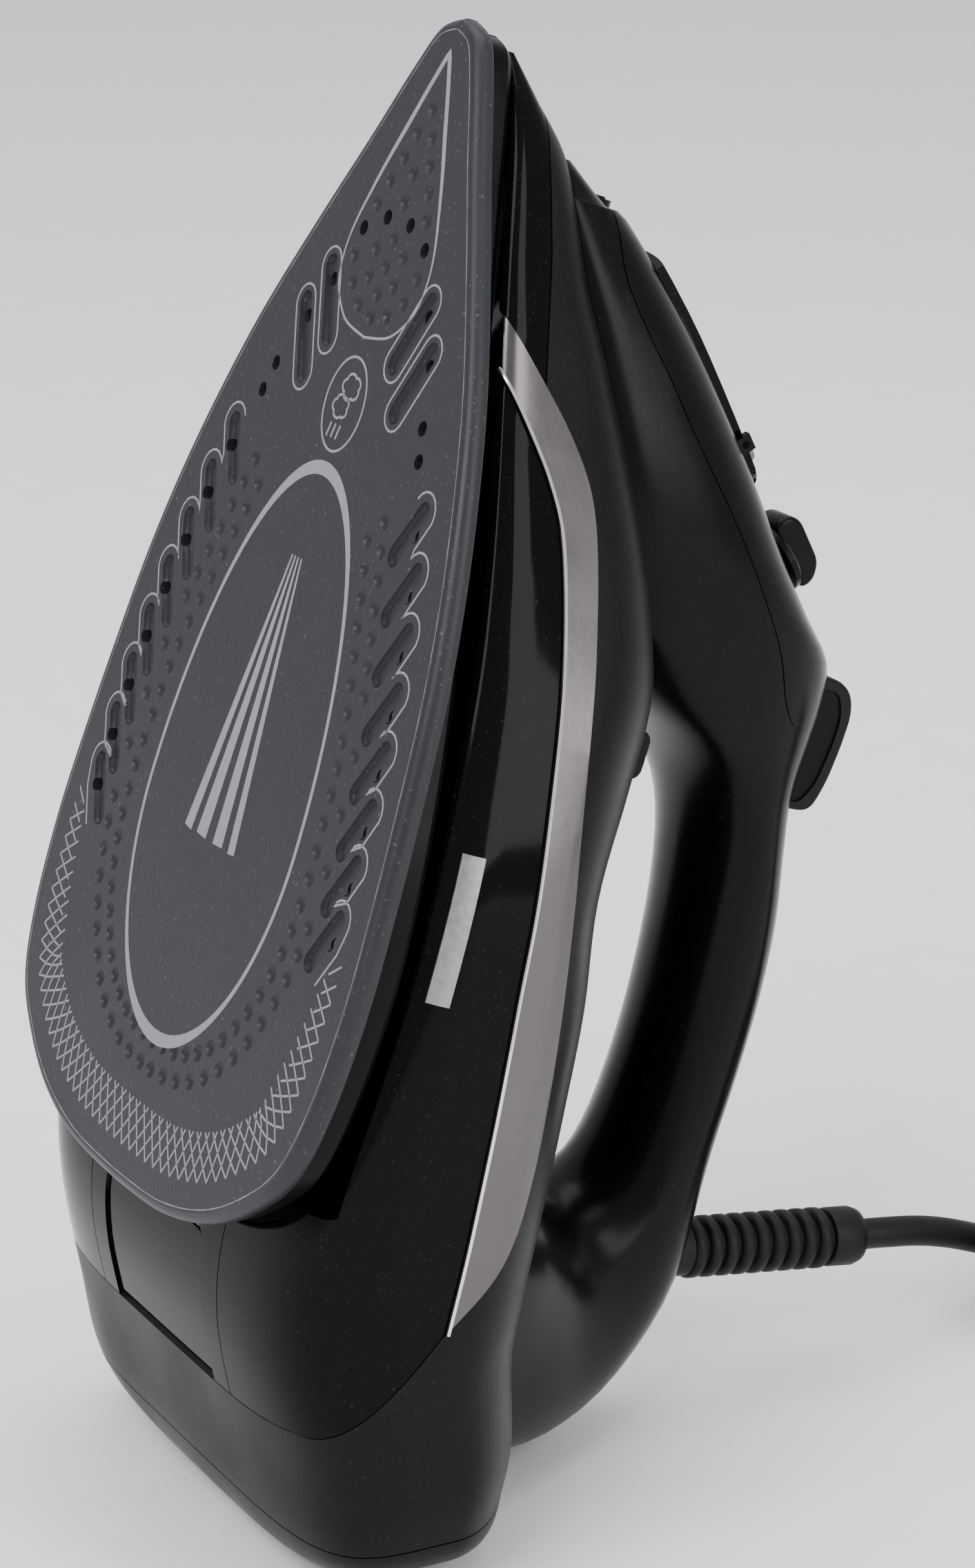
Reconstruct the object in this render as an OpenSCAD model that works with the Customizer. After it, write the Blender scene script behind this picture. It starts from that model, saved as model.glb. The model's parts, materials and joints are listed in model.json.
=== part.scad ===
// Steam iron standing on its heel: the sole faces -Y, the nose points up, the cord leaves towards +Y.
// Inside stand() a part uses the iron's own axes: X across, Y away from the sole face, Z towards the nose.

/* [Stance] */
// Backward lean of the sole when the iron stands on its heel, degrees
lean = 19.4; // [18:0.1:21]
// Height of the sole's heel edge above the surface the iron stands on
heel_rise = 72; // [70:0.5:74]
// Distance from the middle of the heel foot to the sole's heel edge
foot_back = 52; // [50:0.5:54]

/* [Soleplate] */
// Thickness of the pressed soleplate
sole_t = 4; // [3:0.5:5]
// Radius of the steam holes
steam_r = 1.3; // [1:0.1:1.6]
// Number of scalloped steam grooves on each side
groove_n = 8; // [6:1:9]

/* [Shells] */
// Wall thickness of the moulded shells
wall = 2.4; // [2:0.1:3]
// Width of the seams between neighbouring shells
seam = 0.3; // [0.2:0.05:0.5]
// Height of the skirt's upper edge above the sole face
skirt_top = 9.4; // [9:0.1:10]

/* [Controls] */
// Travel of the spray and steam buttons
button_travel = 3; // [2:0.5:4]
// Radius of the temperature dial
dial_r = 17; // [15:0.5:18]
// Running clearance around moving controls
play = 0.4; // [0.3:0.05:0.6]

/* [Cord] */
// Diameter of the mains cord
cord_d = 6.4; // [6:0.2:7]
// Length of the ribbed cord guard
guard_len = 42; // [38:1:50]
// Number of ribs on the cord guard
guard_ribs = 9; // [7:1:11]

/* [Hidden] */

$fn = 48;
side_sign = [-1, 1];
far = 200;

// Sole half outline from the heel's middle to the nose: [half width, distance from the heel].
sole_pts = [[0, 0], [20, 1], [37, 5.5], [50, 13], [59, 22], [63.5, 36], [65, 55], [64, 74],
    [62.2, 92], [60, 109], [56.2, 126], [50.3, 144], [42.2, 163], [31, 183], [20.8, 200], [12.2, 215],
    [6.8, 222.5], [0, 225]];

// Narrower half outline of the heater block and the skirt above the sole.
block_pts = [[0, 0], [20, 1], [37, 5.5], [50, 13], [59, 22], [63.5, 36], [65, 55], [63.5, 74],
    [60, 92], [55, 109], [49, 126], [42, 144], [34, 163], [25, 183], [17.5, 200], [11, 215],
    [6.5, 222.5], [0, 225]];

// Lower mass sections, heel to nose:
// [heel distance, height, tilt, half width, side height, top height, top power, base power].
base_h = 9.6;
trim_t = 1.2;
lower_rows = [
    [-59.6, 47.5, 19.4, 35, 20, 41, 1.8, 3.2],
    [-57.4, 41.6, 19.4, 48, 23, 47, 1.8, 3.8],
    [-53.5, 36.5, 19, 57.5, 26, 53, 1.75, 4.8],
    [-47, 31.5, 17, 60.5, 28, 57, 1.75, 5],
    [-35.6, 25.3, 13, 62, 31, 61, 1.75, 5],
    [-16.5, 14.5, 8, 62, 34, 65, 1.85, 5],
    [0, 10, 3, 62.5, 35, 67, 1.9, 6],
    [20, base_h, 0, 63.5, 34, 65.4, 1.85, 8],
    [40, base_h, 0, 64.5, 31.5, 63.4, 1.8, 8],
    [60, base_h, 0, 64, 30, 60.4, 1.8, 8],
    [80, base_h, 0, 62, 27.5, 56.6, 1.8, 8],
    [100, base_h, 0, 58, 27, 58.4, 1.85, 8],
    [118, base_h, 0, 53.5, 27, 56.5, 2.1, 8],
    [133, base_h, 0, 48, 26, 51, 2.2, 8],
    [147, base_h, 0, 42, 23, 45, 2.3, 8],
    [160, base_h, 0, 36, 20, 38.5, 2.3, 8],
    [174, base_h, 0, 29.5, 16, 31.5, 2.3, 8],
    [186, base_h, 0, 24, 12, 25.5, 2.2, 8],
    [198, base_h, 0, 18.5, 9, 20.5, 2.2, 7],
    [207, base_h, 0, 14, 6, 16.5, 2, 6],
    [215, base_h, 0, 9, 3.5, 8, 2, 5],
    [221.5, base_h, 0, 3, 1.2, 2, 2, 4]];

// Upper loop sections: nose housing, handle grip and rear column, in the same form.
upper_rows = [
    [206, 20, 0, 8, 4, 8.5, 2.2, 4],
    [200, 22, 0, 13, 8, 15, 2.2, 4],
    [198.6, 22, 0, 14.5, 10, 20.5, 2.2, 4],
    [186, 26, 0, 20.5, 14, 31, 2.3, 4],
    [174, 30, 0, 24, 18, 39, 2.4, 4],
    [159, 36, 0, 27, 22, 47, 2.5, 4],
    [146, 42, 0, 28.5, 24, 52.8, 2.5, 4],
    [136, 48, 0, 28.5, 26, 56.6, 2.6, 4],
    [129, 53, 0, 27.5, 27, 59, 2.7, 4],
    [122, 60, -1, 25.5, 25, 54.5, 2.7, 3],
    [114, 70, -3, 22.5, 22, 45.5, 2.6, 2.6],
    [107, 82, -5, 19.8, 17, 34.2, 2.4, 2.2],
    [100, 90.5, -5, 17.8, 13, 26.8, 2.3, 2],
    [90, 96.5, -4, 16.5, 11.5, 23.3, 2.2, 2],
    [76, 100, -2, 15.5, 11.5, 23.5, 2.2, 2],
    [60, 102, 0, 15, 12, 23.4, 2.2, 2],
    [44, 103, 0, 15, 12, 22.7, 2.2, 2],
    [28, 102.4, 0, 15.2, 12, 23.2, 2.2, 2],
    [18, 100, -8, 16, 12.5, 26.5, 2.3, 2],
    [13, 94.5, -24, 17.5, 15, 34.5, 2.5, 2],
    [11.5, 90.5, -44, 19.5, 17, 42, 2.6, 2.2],
    [13, 86.5, -62, 23.5, 21, 50.5, 2.6, 2.5],
    [16, 82, -75, 29, 26, 57, 2.6, 2.8],
    [20, 76, -90, 36, 30, 62, 2.8, 3],
    [23, 66, -90, 41, 32, 66, 3, 3]];

// Side view lines as [distance from heel, height above the sole face].
trim_low = [[171, 8], [157, 18], [150.5, 22], [144, 24.8], [136, 26.4], [125, 27.8], [108, 29.5],
    [80, 31.7], [61, 33], [39, 35.6], [16, 38.8], [-1, 40.6]];
trim_high = [[180, 8], [166.5, 20.5], [160, 26], [153, 30.4], [146, 32.7], [137, 34], [126, 35.1],
    [110, 36.6], [93, 38.5], [81, 40.4], [58, 44.2], [40, 47.4], [30, 48.7], [20, 49.1],
    [11, 47.2], [-1, 40.8]];
nose_line = [[240, 17], [205, 17.8], [189, 19.5], [166.5, 20.2]];
band_line = [[-1, 40.7], [-10, 36.5], [-19, 31], [-26, 25.5], [-31, 20], [-60, 5]];
cover_line = [[208, 30], [199.2, 35], [187, 39], [172, 52], [163, 60], [151, 72], [140, 82],
    [129, 91], [121, 96.5], [116.5, 101], [115.5, 104]];

// Sheathed heating element: half spacing of its legs and where its bend starts.
element_x = 26;
element_z = 94;

// Slope of the top cover: where it starts and its angle to the sole.
slope_z = 198;
slope_y = 43;
slope_a = 45.5;

// Control positions along the cover slope and on the body.
lid_from = 8;
lid_len = 46;
lid_w = 25;
lever_at = 79;
lever_r = 7.6;
pin_r = 0.8;
ear_x = lid_w / 2 + 0.4;
lid_rise = 0.4;
button_w = 10.8;
button_z = [98, 125];
pump_z = 113;
dial_z = 66;
dial_y = 71;
clean_x = 24.5;
clean_z = 104.5;
clean_y = 55;

// Cord outlet in standing axes: ball centre, droop of the guard below the horizontal.
ball_y = 62;
exit_z = 33.5;
guard_droop = 8;
ball_r = 9;
guard_r = 6.3;
guard_from = 11;
guard_end_y = ball_y + (guard_from + guard_len) * cos(guard_droop);
guard_end_z = exit_z - (guard_from + guard_len) * sin(guard_droop);

// Loose cord: route to the floor, then a neat coil of the rest with the plug lying on it.
coil_x = 20;
coil_y = 196;
coil_r = 36;
coil_half = 9.7;
cord_route = [[0, 109, 26.9], [0, 115, 26.05], [0, 122, 25.1], [-0.5, 130, 23.6], [-1.5, 138, 21.1],
    [-3.5, 147, 17.2], [-6.5, 156, 12.8], [-10.5, 165, 8.7], [-14.5, 174, 6]];
tail_r = 26;
tail_z0 = 22.6;
tail_z1 = 35;
plug_len = 40;
plug_r = 18;
plug_tilt = 5;

// ---------- curves and lofts ----------
function cr(a, b, c, d, t) = 0.5 * (2 * b + (c - a) * t + (2 * a - 5 * b + 4 * c - d) * t * t
    + (3 * b - a - 3 * c + d) * t * t * t);
function smooth_rows(p, n) = concat([for (i = [0:len(p) - 2]) for (j = [0:n - 1])
    cr(p[max(i - 1, 0)], p[i], p[i + 1], p[min(i + 2, len(p) - 1)], j / n)], [p[len(p) - 1]]);
function power(x, e) = x == 0 ? 0 : sign(x) * pow(abs(x), e);
function reversed(p) = [for (i = [len(p) - 1:-1:0]) p[i]];

// One closed section: a superellipse with its own power above and below the side height.
function section(r, g, drop, m) = [for (i = [0:m - 1])
    let (a = 360 * i / m, c = cos(a), s = sin(a), e = s >= 0 ? 2 / r[6] : 2 / r[7],
        top = r[5] + g, low = -g - (r[2] > 0.5 ? 0 : drop),
        v = s >= 0 ? r[4] + (top - r[4]) * power(s, e) : r[4] + (r[4] - low) * power(s, e))
    [(r[3] + g) * power(c, s >= 0 ? 2 / r[6] : 2 / r[7]),
        r[1] + v * cos(r[2]), r[0] + v * sin(r[2])]];

module loft(rows, g, drop, m) {
    n = len(rows);
    points = [for (r = rows) each section(r, g, drop, m)];
    walls = [for (i = [0:n - 2]) for (j = [0:m - 1]) let (k = (j + 1) % m)
        each [[i * m + j, i * m + k, (i + 1) * m + k], [i * m + j, (i + 1) * m + k, (i + 1) * m + j]]];
    ends = [[for (j = [m - 1:-1:0]) j], [for (j = [0:m - 1]) (n - 1) * m + j]];
    polyhedron(points = points, faces = concat(walls, ends), convexity = 8);
}

module lower_mass(g = 0) {
    loft(reversed(smooth_rows(lower_rows, 2)), g, 0, 28);
}

module lower_core(g = -wall) {
    rows = smooth_rows(lower_rows, 2);
    loft(reversed([for (i = [2:len(rows) - 5]) rows[i]]), g, 6, 28);
}

module upper_loop(g = 0) {
    loft(upper_rows, g, 0, 24);
}

module upper_core() {
    loft([for (i = [2:len(upper_rows) - 1]) upper_rows[i]], -wall, 0, 24);
}

// Keeps a freeform shell as one surface mesh at its own size.
module one_mesh() {
    resize([0, 0, 0]) union() {
        children();
    }
}

// ---------- frames ----------
module stand() {
    translate([0, -foot_back, heel_rise]) rotate([-lean, 0, 0]) children();
}

// Plate drawn in plan (across, towards the nose), from height h0 to h1 above the sole face.
module plan(h0, h1) {
    translate([0, h1, 0]) rotate([90, 0, 0]) linear_extrude(h1 - h0) children();
}

// Slab drawn in side view (height, towards the nose), between two planes across the iron.
module across(x0, x1) {
    translate([x0, 0, 0]) rotate([90, 0, 90]) linear_extrude(x1 - x0) children();
}

module upright(x, z, h0, h1, r) {
    translate([x, h0, z]) rotate([-90, 0, 0]) cylinder(h = h1 - h0, r = r);
}

// Top cover frame: Z runs down the slope from its upper end towards the nose, Y points outwards.
module on_slope(along) {
    translate([0, slope_y + along * sin(slope_a), slope_z - along * cos(slope_a)])
        rotate([slope_a, 0, 0]) children();
}

function flip(p, dh) = [for (q = p) [q[1] + dh, q[0]]];

// ---------- regions in side view ----------
module below_trim(dh) {
    polygon(concat(flip(nose_line, dh), flip([for (i = [1:len(trim_low) - 1]) trim_low[i]], dh),
        flip(band_line, dh), [[-far, -60], [-far, 240]]));
}

module above_trim(dh) {
    polygon(concat(flip(nose_line, dh), flip([for (i = [2:len(trim_high) - 1]) trim_high[i]], dh),
        flip(band_line, dh), [[far, -60], [far, 240]]));
}

module trim_band(g) {
    offset(delta = g) polygon(concat(flip(trim_low, 0), flip(reversed(trim_high), 0)));
}

// Everything lower than a level above the standing surface.
module under_level(level) {
    rotate([lean, 0, 0]) translate([0, foot_back, -heel_rise])
        translate([-far, -far, level - far]) cube([2 * far, 2 * far, far]);
}

module sole_outline(inset, points = block_pts) {
    half = smooth_rows(points, 3);
    k = 1 - inset / 65;
    mid = 98;
    polygon([for (s = side_sign) each [for (p = (s > 0 ? half : reversed(half)))
        [s * p[0] * k, mid + (p[1] - mid) * (1 - inset / 105)]]]);
}

// ---------- soleplate and heater ----------
function groove_x(i) = 51.7 - 0.315 * (6.5 - i) * (6.5 - i);
function groove_z(i) = 135.7 - 10.3 * i;

module steam_bore(x, z) {
    upright(x, z, -1, sole_t + 1, steam_r);
}

module soleplate() {
    color([0.27, 0.27, 0.29]) stand() difference() {
        plan(0, sole_t) sole_outline(0, sole_pts);
        for (s = side_sign) {
            for (i = [0:groove_n - 1]) steam_bore(s * groove_x(i), groove_z(i));
            for (p = [[4.6, 185], [12.5, 181.7], [20.2, 170.6], [25.7, 162.6], [30.8, 152.2], [33, 146.4]])
                steam_bore(s * p[0], p[1]);
        }
    }
}

module element_path(r) {
    for (s = side_sign) translate([s * element_x, 15, 20]) cylinder(h = element_z - 20, r = r);
    translate([0, 15, element_z]) rotate([90, 0, 0]) rotate_extrude(angle = 180)
        translate([element_x, 0]) circle(r = r);
}

module heater_block() {
    color([0.62, 0.62, 0.63]) stand() difference() {
        plan(sole_t + 0.1, 14.9) sole_outline(16);
        element_path(3.6);
        upright(0, 78, 10, 16, 22);
    }
}

module heating_element() {
    route = concat([[-element_x, 15, 24]],
        [for (a = [0:15:180]) [-element_x * cos(a), 15, element_z + element_x * sin(a)]],
        [[element_x, 15, 24]]);
    color([0.35, 0.33, 0.32]) stand() tube(route, 3.4, 12);
}

module chamber_seal() {
    color([0.75, 0.35, 0.25]) stand() difference() {
        upright(0, 78, 15, 16.4, 21.5);
        upright(0, 78, 14, 17, 19);
    }
}

module chamber_cover() {
    color([0.7, 0.7, 0.72]) stand() difference() {
        upright(0, 78, 16.5, 18, 21.5);
        upright(0, 78, 16, 19, 3.2);
    }
}

module drip_valve() {
    color([0.85, 0.82, 0.7]) stand() difference() {
        union() {
            upright(0, 78, 15.2, 25.8, 3);
            upright(0, 78, 25.7, 30, 4.8);
        }
        upright(0, 78, 15, 28, 1);
    }
}

// ---------- lower shells ----------
module skirt() {
    color([0.05, 0.05, 0.055]) stand() difference() {
        plan(sole_t + 0.1, skirt_top) sole_outline(1.6);
        plan(sole_t - 1, skirt_top + 1) sole_outline(7.5);
    }
}

module lower_shell(g = 0) {
    difference() {
        lower_mass(g);
        lower_core();
    }
}

module tank_shell() {
    color([0.04, 0.04, 0.045]) stand() one_mesh() difference() {
        intersection() {
            lower_shell();
            across(-far, far) {
                below_trim(-seam / 2);
                trim_band(0);
            }
        }
        difference() {
            across(-far, far) trim_band(seam / 2);
            lower_core(-trim_t - 0.05);
        }
        rear_cover_zone(0);
    }
}

module rear_cover_zone(g) {
    translate([-29 - g, -60, -80]) cube([58 + 2 * g, 140, 88 + g]);
}

module label_zone(g) {
    translate([0, 10, -14]) rotate([-50, 0, 0]) translate([-22 - g, -far / 2, -15 - g])
        cube([44 + 2 * g, far, 24 + 2 * g]);
}

module rear_cover() {
    color([0.045, 0.045, 0.05]) stand() one_mesh() difference() {
        intersection() {
            lower_shell();
            across(-far, far) below_trim(-seam / 2);
            rear_cover_zone(-seam);
        }
        difference() {
            label_zone(0);
            lower_mass(-1.2);
        }
    }
}

module label_panel() {
    color([0.06, 0.06, 0.065]) stand() one_mesh() intersection() {
        difference() {
            lower_mass(-0.6);
            lower_mass(-1.15);
        }
        label_zone(-seam);
        across(-far, far) below_trim(-2);
        rear_cover_zone(-2);
    }
}

module trim(s) {
    color([0.5, 0.48, 0.47]) stand() one_mesh() intersection() {
        difference() {
            lower_mass(0.5);
            lower_core(-trim_t);
        }
        across(s > 0 ? 2 : -far, s > 0 ? far : -2) trim_band(-seam / 2);
    }
}

module trim_left() {
    trim(1);
}

module trim_right() {
    trim(-1);
}

module window_zone(g) {
    for (s = side_sign) plan(40, 90) translate([s * 30, 118]) rotate(s * 12)
        translate([-4 - g, -22 - g]) square([8 + 2 * g, 44 + 2 * g]);
}

module tank_window() {
    color([0.12, 0.12, 0.13]) stand() one_mesh() intersection() {
        lower_shell();
        window_zone(-seam / 2);
    }
}

module mid_shell() {
    color([0.13, 0.125, 0.13]) stand() difference() {
        one_mesh() difference() {
            intersection() {
                lower_shell();
                across(-far, far) above_trim(seam / 2);
            }
            across(-far, far) trim_band(seam / 2);
            under_level(14 + seam / 2);
            window_zone(0);
        }
        upright(0, dial_z, 55, 90, dial_r + play);
        translate([clean_x - 3.4, 40, clean_z - 5.2]) cube([6.8, 50, 10.4]);
        rod_path(2.9);
        steam_line(2);
        for (s = side_sign) mains_line(s, 1.6);
    }
}

module foot_zone(g) {
    rotate([lean, 0, 0]) translate([0, foot_back, -heel_rise]) translate([-far, -24 - g, 0])
        rotate([6, 0, 0]) translate([0, 0, -30]) cube([2 * far, 120, 35 + g]);
}

module rear_base() {
    color([0.045, 0.045, 0.05]) stand() one_mesh() difference() {
        intersection() {
            lower_mass();
            under_level(14 - seam / 2);
        }
        foot_zone(seam);
    }
}

module heel_foot() {
    color([0.23, 0.23, 0.23]) stand() one_mesh() intersection() {
        lower_mass();
        foot_zone(0);
        under_level(13);
    }
}

module tank_floor() {
    color([0.25, 0.25, 0.27]) stand() difference() {
        plan(26, 27.6) sole_outline(26);
        upright(0, 78, 25, 29, 5.2);
        upright(0, dial_z, 25, 29, 3);
    }
}

// ---------- handle and cover ----------
module rod_path(r) {
    on_slope(lever_at) translate([0, -98, 0]) rotate([-90, 0, 0]) cylinder(h = 104, r = r);
}

module button_well() {
    translate([-button_w - play, 101, button_z[0] - play])
        cube([2 * (button_w + play), 40, button_z[1] - button_z[0] + 2 * play]);
}

module handle_body() {
    color([0.055, 0.055, 0.06]) stand() difference() {
        one_mesh() difference() {
            upper_loop();
            upper_core();
            lower_mass(0.1);
            across(-far, far) polygon(concat(flip(cover_line, -seam / 2), [[far, 115], [far, 210]]));
        }
        button_well();
        rod_path(2.9);
        socket_hole();
    }
}

module socket_hole() {
    rotate([lean, 0, 0]) translate([0, foot_back, -heel_rise]) outlet()
        translate([0, 0, -7.2]) cylinder(h = 40, r = ball_r + 1.6);
}

module top_cover() {
    color([0.07, 0.07, 0.075]) stand() difference() {
        one_mesh() difference() {
            union() {
                intersection() {
                    upper_loop();
                    across(-far, far)
                        polygon(concat(flip(cover_line, seam / 2), [[far, 115], [far, 210]]));
                }
                hinge_ears();
            }
            upper_core();
            lower_mass(0.1);
        }
        lid_axis(20, pin_r + 0.01);
        lid_axis(lid_w / 2 + 0.3, 1.95);
        button_well();
        on_slope(lever_at) translate([0, -30, 0]) rotate([-90, 0, 0]) cylinder(h = 60, r = 4.2);
        on_slope(lid_from + 22) translate([0, -30, 0]) rotate([-90, 0, 0]) cylinder(h = 60, r = 7);
        translate([0, 38, 190]) cylinder(h = 30, r = 3.4);
    }
}

module spray_nozzle() {
    color([0.03, 0.03, 0.03]) stand() translate([0, 38, 190]) difference() {
        union() {
            cylinder(h = 11, r = 3.3);
            translate([0, 0, 9]) cylinder(h = 2.4, r1 = 3.3, r2 = 2);
        }
        translate([0, 0, 4]) cylinder(h = 12, r = 0.6);
    }
}

// A patch of the cover surface: a rounded slab on the slope, clipped between two skins.
module slope_patch(from, length, width, g0, g1, ends) {
    intersection() {
        difference() {
            upper_loop(g1);
            upper_loop(g0);
        }
        on_slope(from) translate([0, -14, -length / 2]) rotate([-90, 0, 0]) linear_extrude(40)
            union() {
                square([width, length - width * 0.5], center = true);
                for (e = ends) translate([0, e * (length / 2 - width * 0.25)]) intersection() {
                    circle(r = width * 0.56);
                    square([width, width * 0.5], center = true);
                }
            }
    }
}

// Lid hinge: an axis across the end of the lid nearest the handle.
module lid_axis(half, r) {
    on_slope(lid_from + lid_len - lid_w / 4) translate([-half, lid_rise, 0]) rotate([0, 90, 0])
        cylinder(h = 2 * half, r = r);
}

module hinge_ears() {
    for (s = side_sign) on_slope(lid_from + lid_len - lid_w / 4)
        translate([s * (ear_x + 0.75) - 0.75, lid_rise - 5, -1.7]) cube([1.5, 6.6, 3.4]);
}

module filler_lid() {
    color([0.1, 0.1, 0.105]) stand() one_mesh() difference() {
        slope_patch(lid_from, lid_len, lid_w, 0.3, 2.4, [-1]);
        lid_axis(20, 1.6);
    }
}

module lid_barrel() {
    color([0.1, 0.1, 0.105]) stand() difference() {
        lid_axis(lid_w / 2, 1.5);
        lid_axis(20, pin_r + 0.03);
    }
}

module lid_pin() {
    color([0.6, 0.6, 0.6]) stand() lid_axis(ear_x + 1.5, pin_r);
}

module lever_plate() {
    color([0.75, 0.75, 0.76]) stand() one_mesh() difference() {
        slope_patch(lever_at - 13, 26, 20, 0.2, 0.9, side_sign);
        on_slope(lever_at) translate([0, -30, 0]) rotate([-90, 0, 0]) cylinder(h = 60, r = 4.2);
    }
}

module steam_lever() {
    color([0.04, 0.04, 0.045]) stand() on_slope(lever_at) {
        translate([0, -6, 0]) rotate([-90, 0, 0]) cylinder(h = 8.5, r = 4);
        translate([0, 1.6, 0]) rotate([-90, 0, 0]) cylinder(h = 2, r = lever_r);
        translate([-4, 0, 0]) across(0, 8)
            polygon([[3.5, -7.6], [3.5, 7.6], [7, 7.6], [9.2, 5.4], [9.2, -4.6], [6.6, -7.6]]);
    }
}

module steam_rod() {
    color([0.8, 0.8, 0.8]) stand() on_slope(lever_at) translate([0, -92, 0]) rotate([-90, 0, 0])
        cylinder(h = 86, r = 2);
}

// ---------- buttons and pumps ----------
module button(x0) {
    stand() across(x0, x0 + button_w - 0.3)
        polygon([[106, button_z[0]], [118.5, button_z[0]], [120.6, button_z[0] + 1.2],
            [122.2, button_z[0] + 7], [123, button_z[0] + 14], [123, button_z[1] - 6],
            [121.4, button_z[1] - 2], [118, button_z[1]], [106, button_z[1]]]);
}

module spray_button() {
    color([0.2, 0.2, 0.2]) button(0.3);
}

module steam_button() {
    color([0.2, 0.2, 0.2]) button(-button_w);
}

// Helical spring as a swept tube of square-ish section, standing along Y.
module spring(r, wire, height, turns) {
    n = turns * 10;
    ring = [for (k = [0:n]) each [for (c = [45:90:315])
        let (t = k / n, a = 360 * turns * t)
        [(r + wire * cos(c)) * cos(a), height * t + wire * sin(c), (r + wire * cos(c)) * sin(a)]]];
    walls = [for (k = [0:n - 1]) for (c = [0:3]) let (d = (c + 1) % 4)
        each [[k * 4 + c, (k + 1) * 4 + d, k * 4 + d], [k * 4 + c, (k + 1) * 4 + c, (k + 1) * 4 + d]]];
    polyhedron(points = ring, faces = concat(walls, [[0, 1, 2, 3], [for (c = [3:-1:0]) n * 4 + c]]));
}

module spray_spring() {
    color("silver") stand() translate([5.6, 98.5, pump_z]) spring(2.6, 0.45, 7, 4);
}

module steam_spring() {
    color("silver") stand() translate([-5.6, 98.5, pump_z]) spring(2.6, 0.45, 7, 4);
}

module pump(x) {
    stand() difference() {
        union() {
            upright(x, pump_z, 85, 96, 4.4);
            upright(x, pump_z, 96, 98, 4.8);
            upright(x, pump_z, 82, 85, 2.2);
        }
        upright(x, pump_z, 81, 91, 1.1);
    }
}

module spray_pump() {
    color([0.85, 0.85, 0.8]) pump(5.6);
}

module steam_pump() {
    color([0.85, 0.85, 0.8]) pump(-5.6);
}

module link(a, b, r) {
    d = b - a;
    translate(a) rotate([0, acos(d[2] / norm(d)), atan2(d[1], d[0])]) cylinder(h = norm(d), r = r);
}

module steam_line(r) {
    link([-5.6, 81.5, 117.5], [-10, 31, 134], r);
}

module mains_line(s, r) {
    link([s * 6, 98, 4], [s * 24, 21, 21], r);
}

module spray_hose() {
    color([0.8, 0.8, 0.8]) stand() link([5.6, 81.5, 117.5], [1.5, 41, 186], 1.4);
}

module steam_hose() {
    color([0.8, 0.8, 0.8]) stand() steam_line(1.5);
}

// ---------- temperature control ----------
module temperature_dial() {
    color([0.09, 0.09, 0.095]) stand() difference() {
        upright(0, dial_z, dial_y - 6, dial_y, dial_r);
        upright(0, dial_z, dial_y - 7, dial_y - 3, dial_r - 2.5);
        for (a = [0:30:359]) translate([0, 0, dial_z]) rotate([0, a, 0])
            upright(dial_r + 0.8, 0, dial_y - 4.5, dial_y + 1, 1.6);
    }
}

module dial_shaft() {
    color("silver") stand() upright(0, dial_z, 25.8, dial_y - 3, 2.4);
}

module thermostat() {
    color([0.8, 0.78, 0.72]) stand() {
        upright(0, dial_z - 24, 15.2, 25.6, 8);
        translate([-4, 23.6, dial_z - 24]) cube([8, 2, 28]);
    }
}

module thermal_fuse() {
    color([0.85, 0.8, 0.6]) stand() translate([-9, 21, 29]) rotate([0, 90, 0]) cylinder(h = 18, r = 2);
}

// ---------- self-clean button ----------
module self_clean_button() {
    color([0.12, 0.12, 0.125]) stand() translate([clean_x, 0, clean_z]) {
        across(-3, 3) polygon([[clean_y, -4.8], [clean_y, 4.8], [clean_y + 12, 4.8],
            [clean_y + 13.4, 3.4], [clean_y + 13.4, -3.4], [clean_y + 12, -4.8]]);
    }
}

module self_clean_spring() {
    color("silver") stand() translate([clean_x, clean_y - 7, clean_z]) spring(2.2, 0.4, 6.4, 4);
}

module self_clean_valve() {
    color([0.85, 0.82, 0.7]) stand() union() {
        upright(clean_x, clean_z, 28, clean_y - 8, 1.6);
        upright(clean_x, clean_z, clean_y - 10, clean_y - 7.6, 4);
    }
}

// ---------- cord outlet ----------
// Frame of the swivelling outlet: origin in the ball, Z along the cord guard.
module outlet() {
    translate([0, ball_y, exit_z]) rotate([-90 - guard_droop, 0, 0]) children();
}

module swivel_ball() {
    color([0.05, 0.05, 0.05]) outlet() rotate_extrude() difference() {
        union() {
            intersection() {
                circle(r = ball_r - play);
                translate([0, -ball_r]) square([ball_r, 2 * ball_r]);
            }
            translate([0, 4]) square([guard_r - 0.6, guard_from - 4.1]);
        }
        translate([0, -ball_r - 1]) square([cord_d / 2, 2 * ball_r + 8]);
    }
}

module swivel_socket() {
    color([0.05, 0.05, 0.05]) outlet() rotate_extrude() difference() {
        translate([0, -7]) square([ball_r + 1.5, 10]);
        circle(r = ball_r);
        translate([0, -8]) square([cord_d / 2 + 1, 20]);
    }
}

module cord_guard() {
    pitch = (guard_len - 8) / guard_ribs;
    color([0.05, 0.05, 0.05]) outlet() translate([0, 0, guard_from]) rotate_extrude() {
        translate([cord_d / 2, 0]) square([guard_r - 1.2 - cord_d / 2, guard_len]);
        for (i = [0:guard_ribs - 1]) translate([cord_d / 2, pitch * i])
            square([guard_r - cord_d / 2, pitch * 0.6]);
        translate([cord_d / 2, guard_len - 7]) square([guard_r - 0.2 - cord_d / 2, 7]);
    }
}

module cord_clamp() {
    color([0.8, 0.8, 0.78]) stand() translate([0, 113, 17]) difference() {
        translate([-6, -4.6, -3]) cube([12, 9.2, 6]);
        translate([0, 0, -6]) cylinder(h = 12, r = cord_d / 2);
    }
}

module terminal_block() {
    color([0.85, 0.85, 0.8]) stand() difference() {
        translate([-8.5, 110, 26]) cube([17, 7, 14]);
        for (x = [-5.6, 0, 5.6]) translate([x, 113.5, 25]) cylinder(h = 16, r = 1.6);
    }
}

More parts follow.
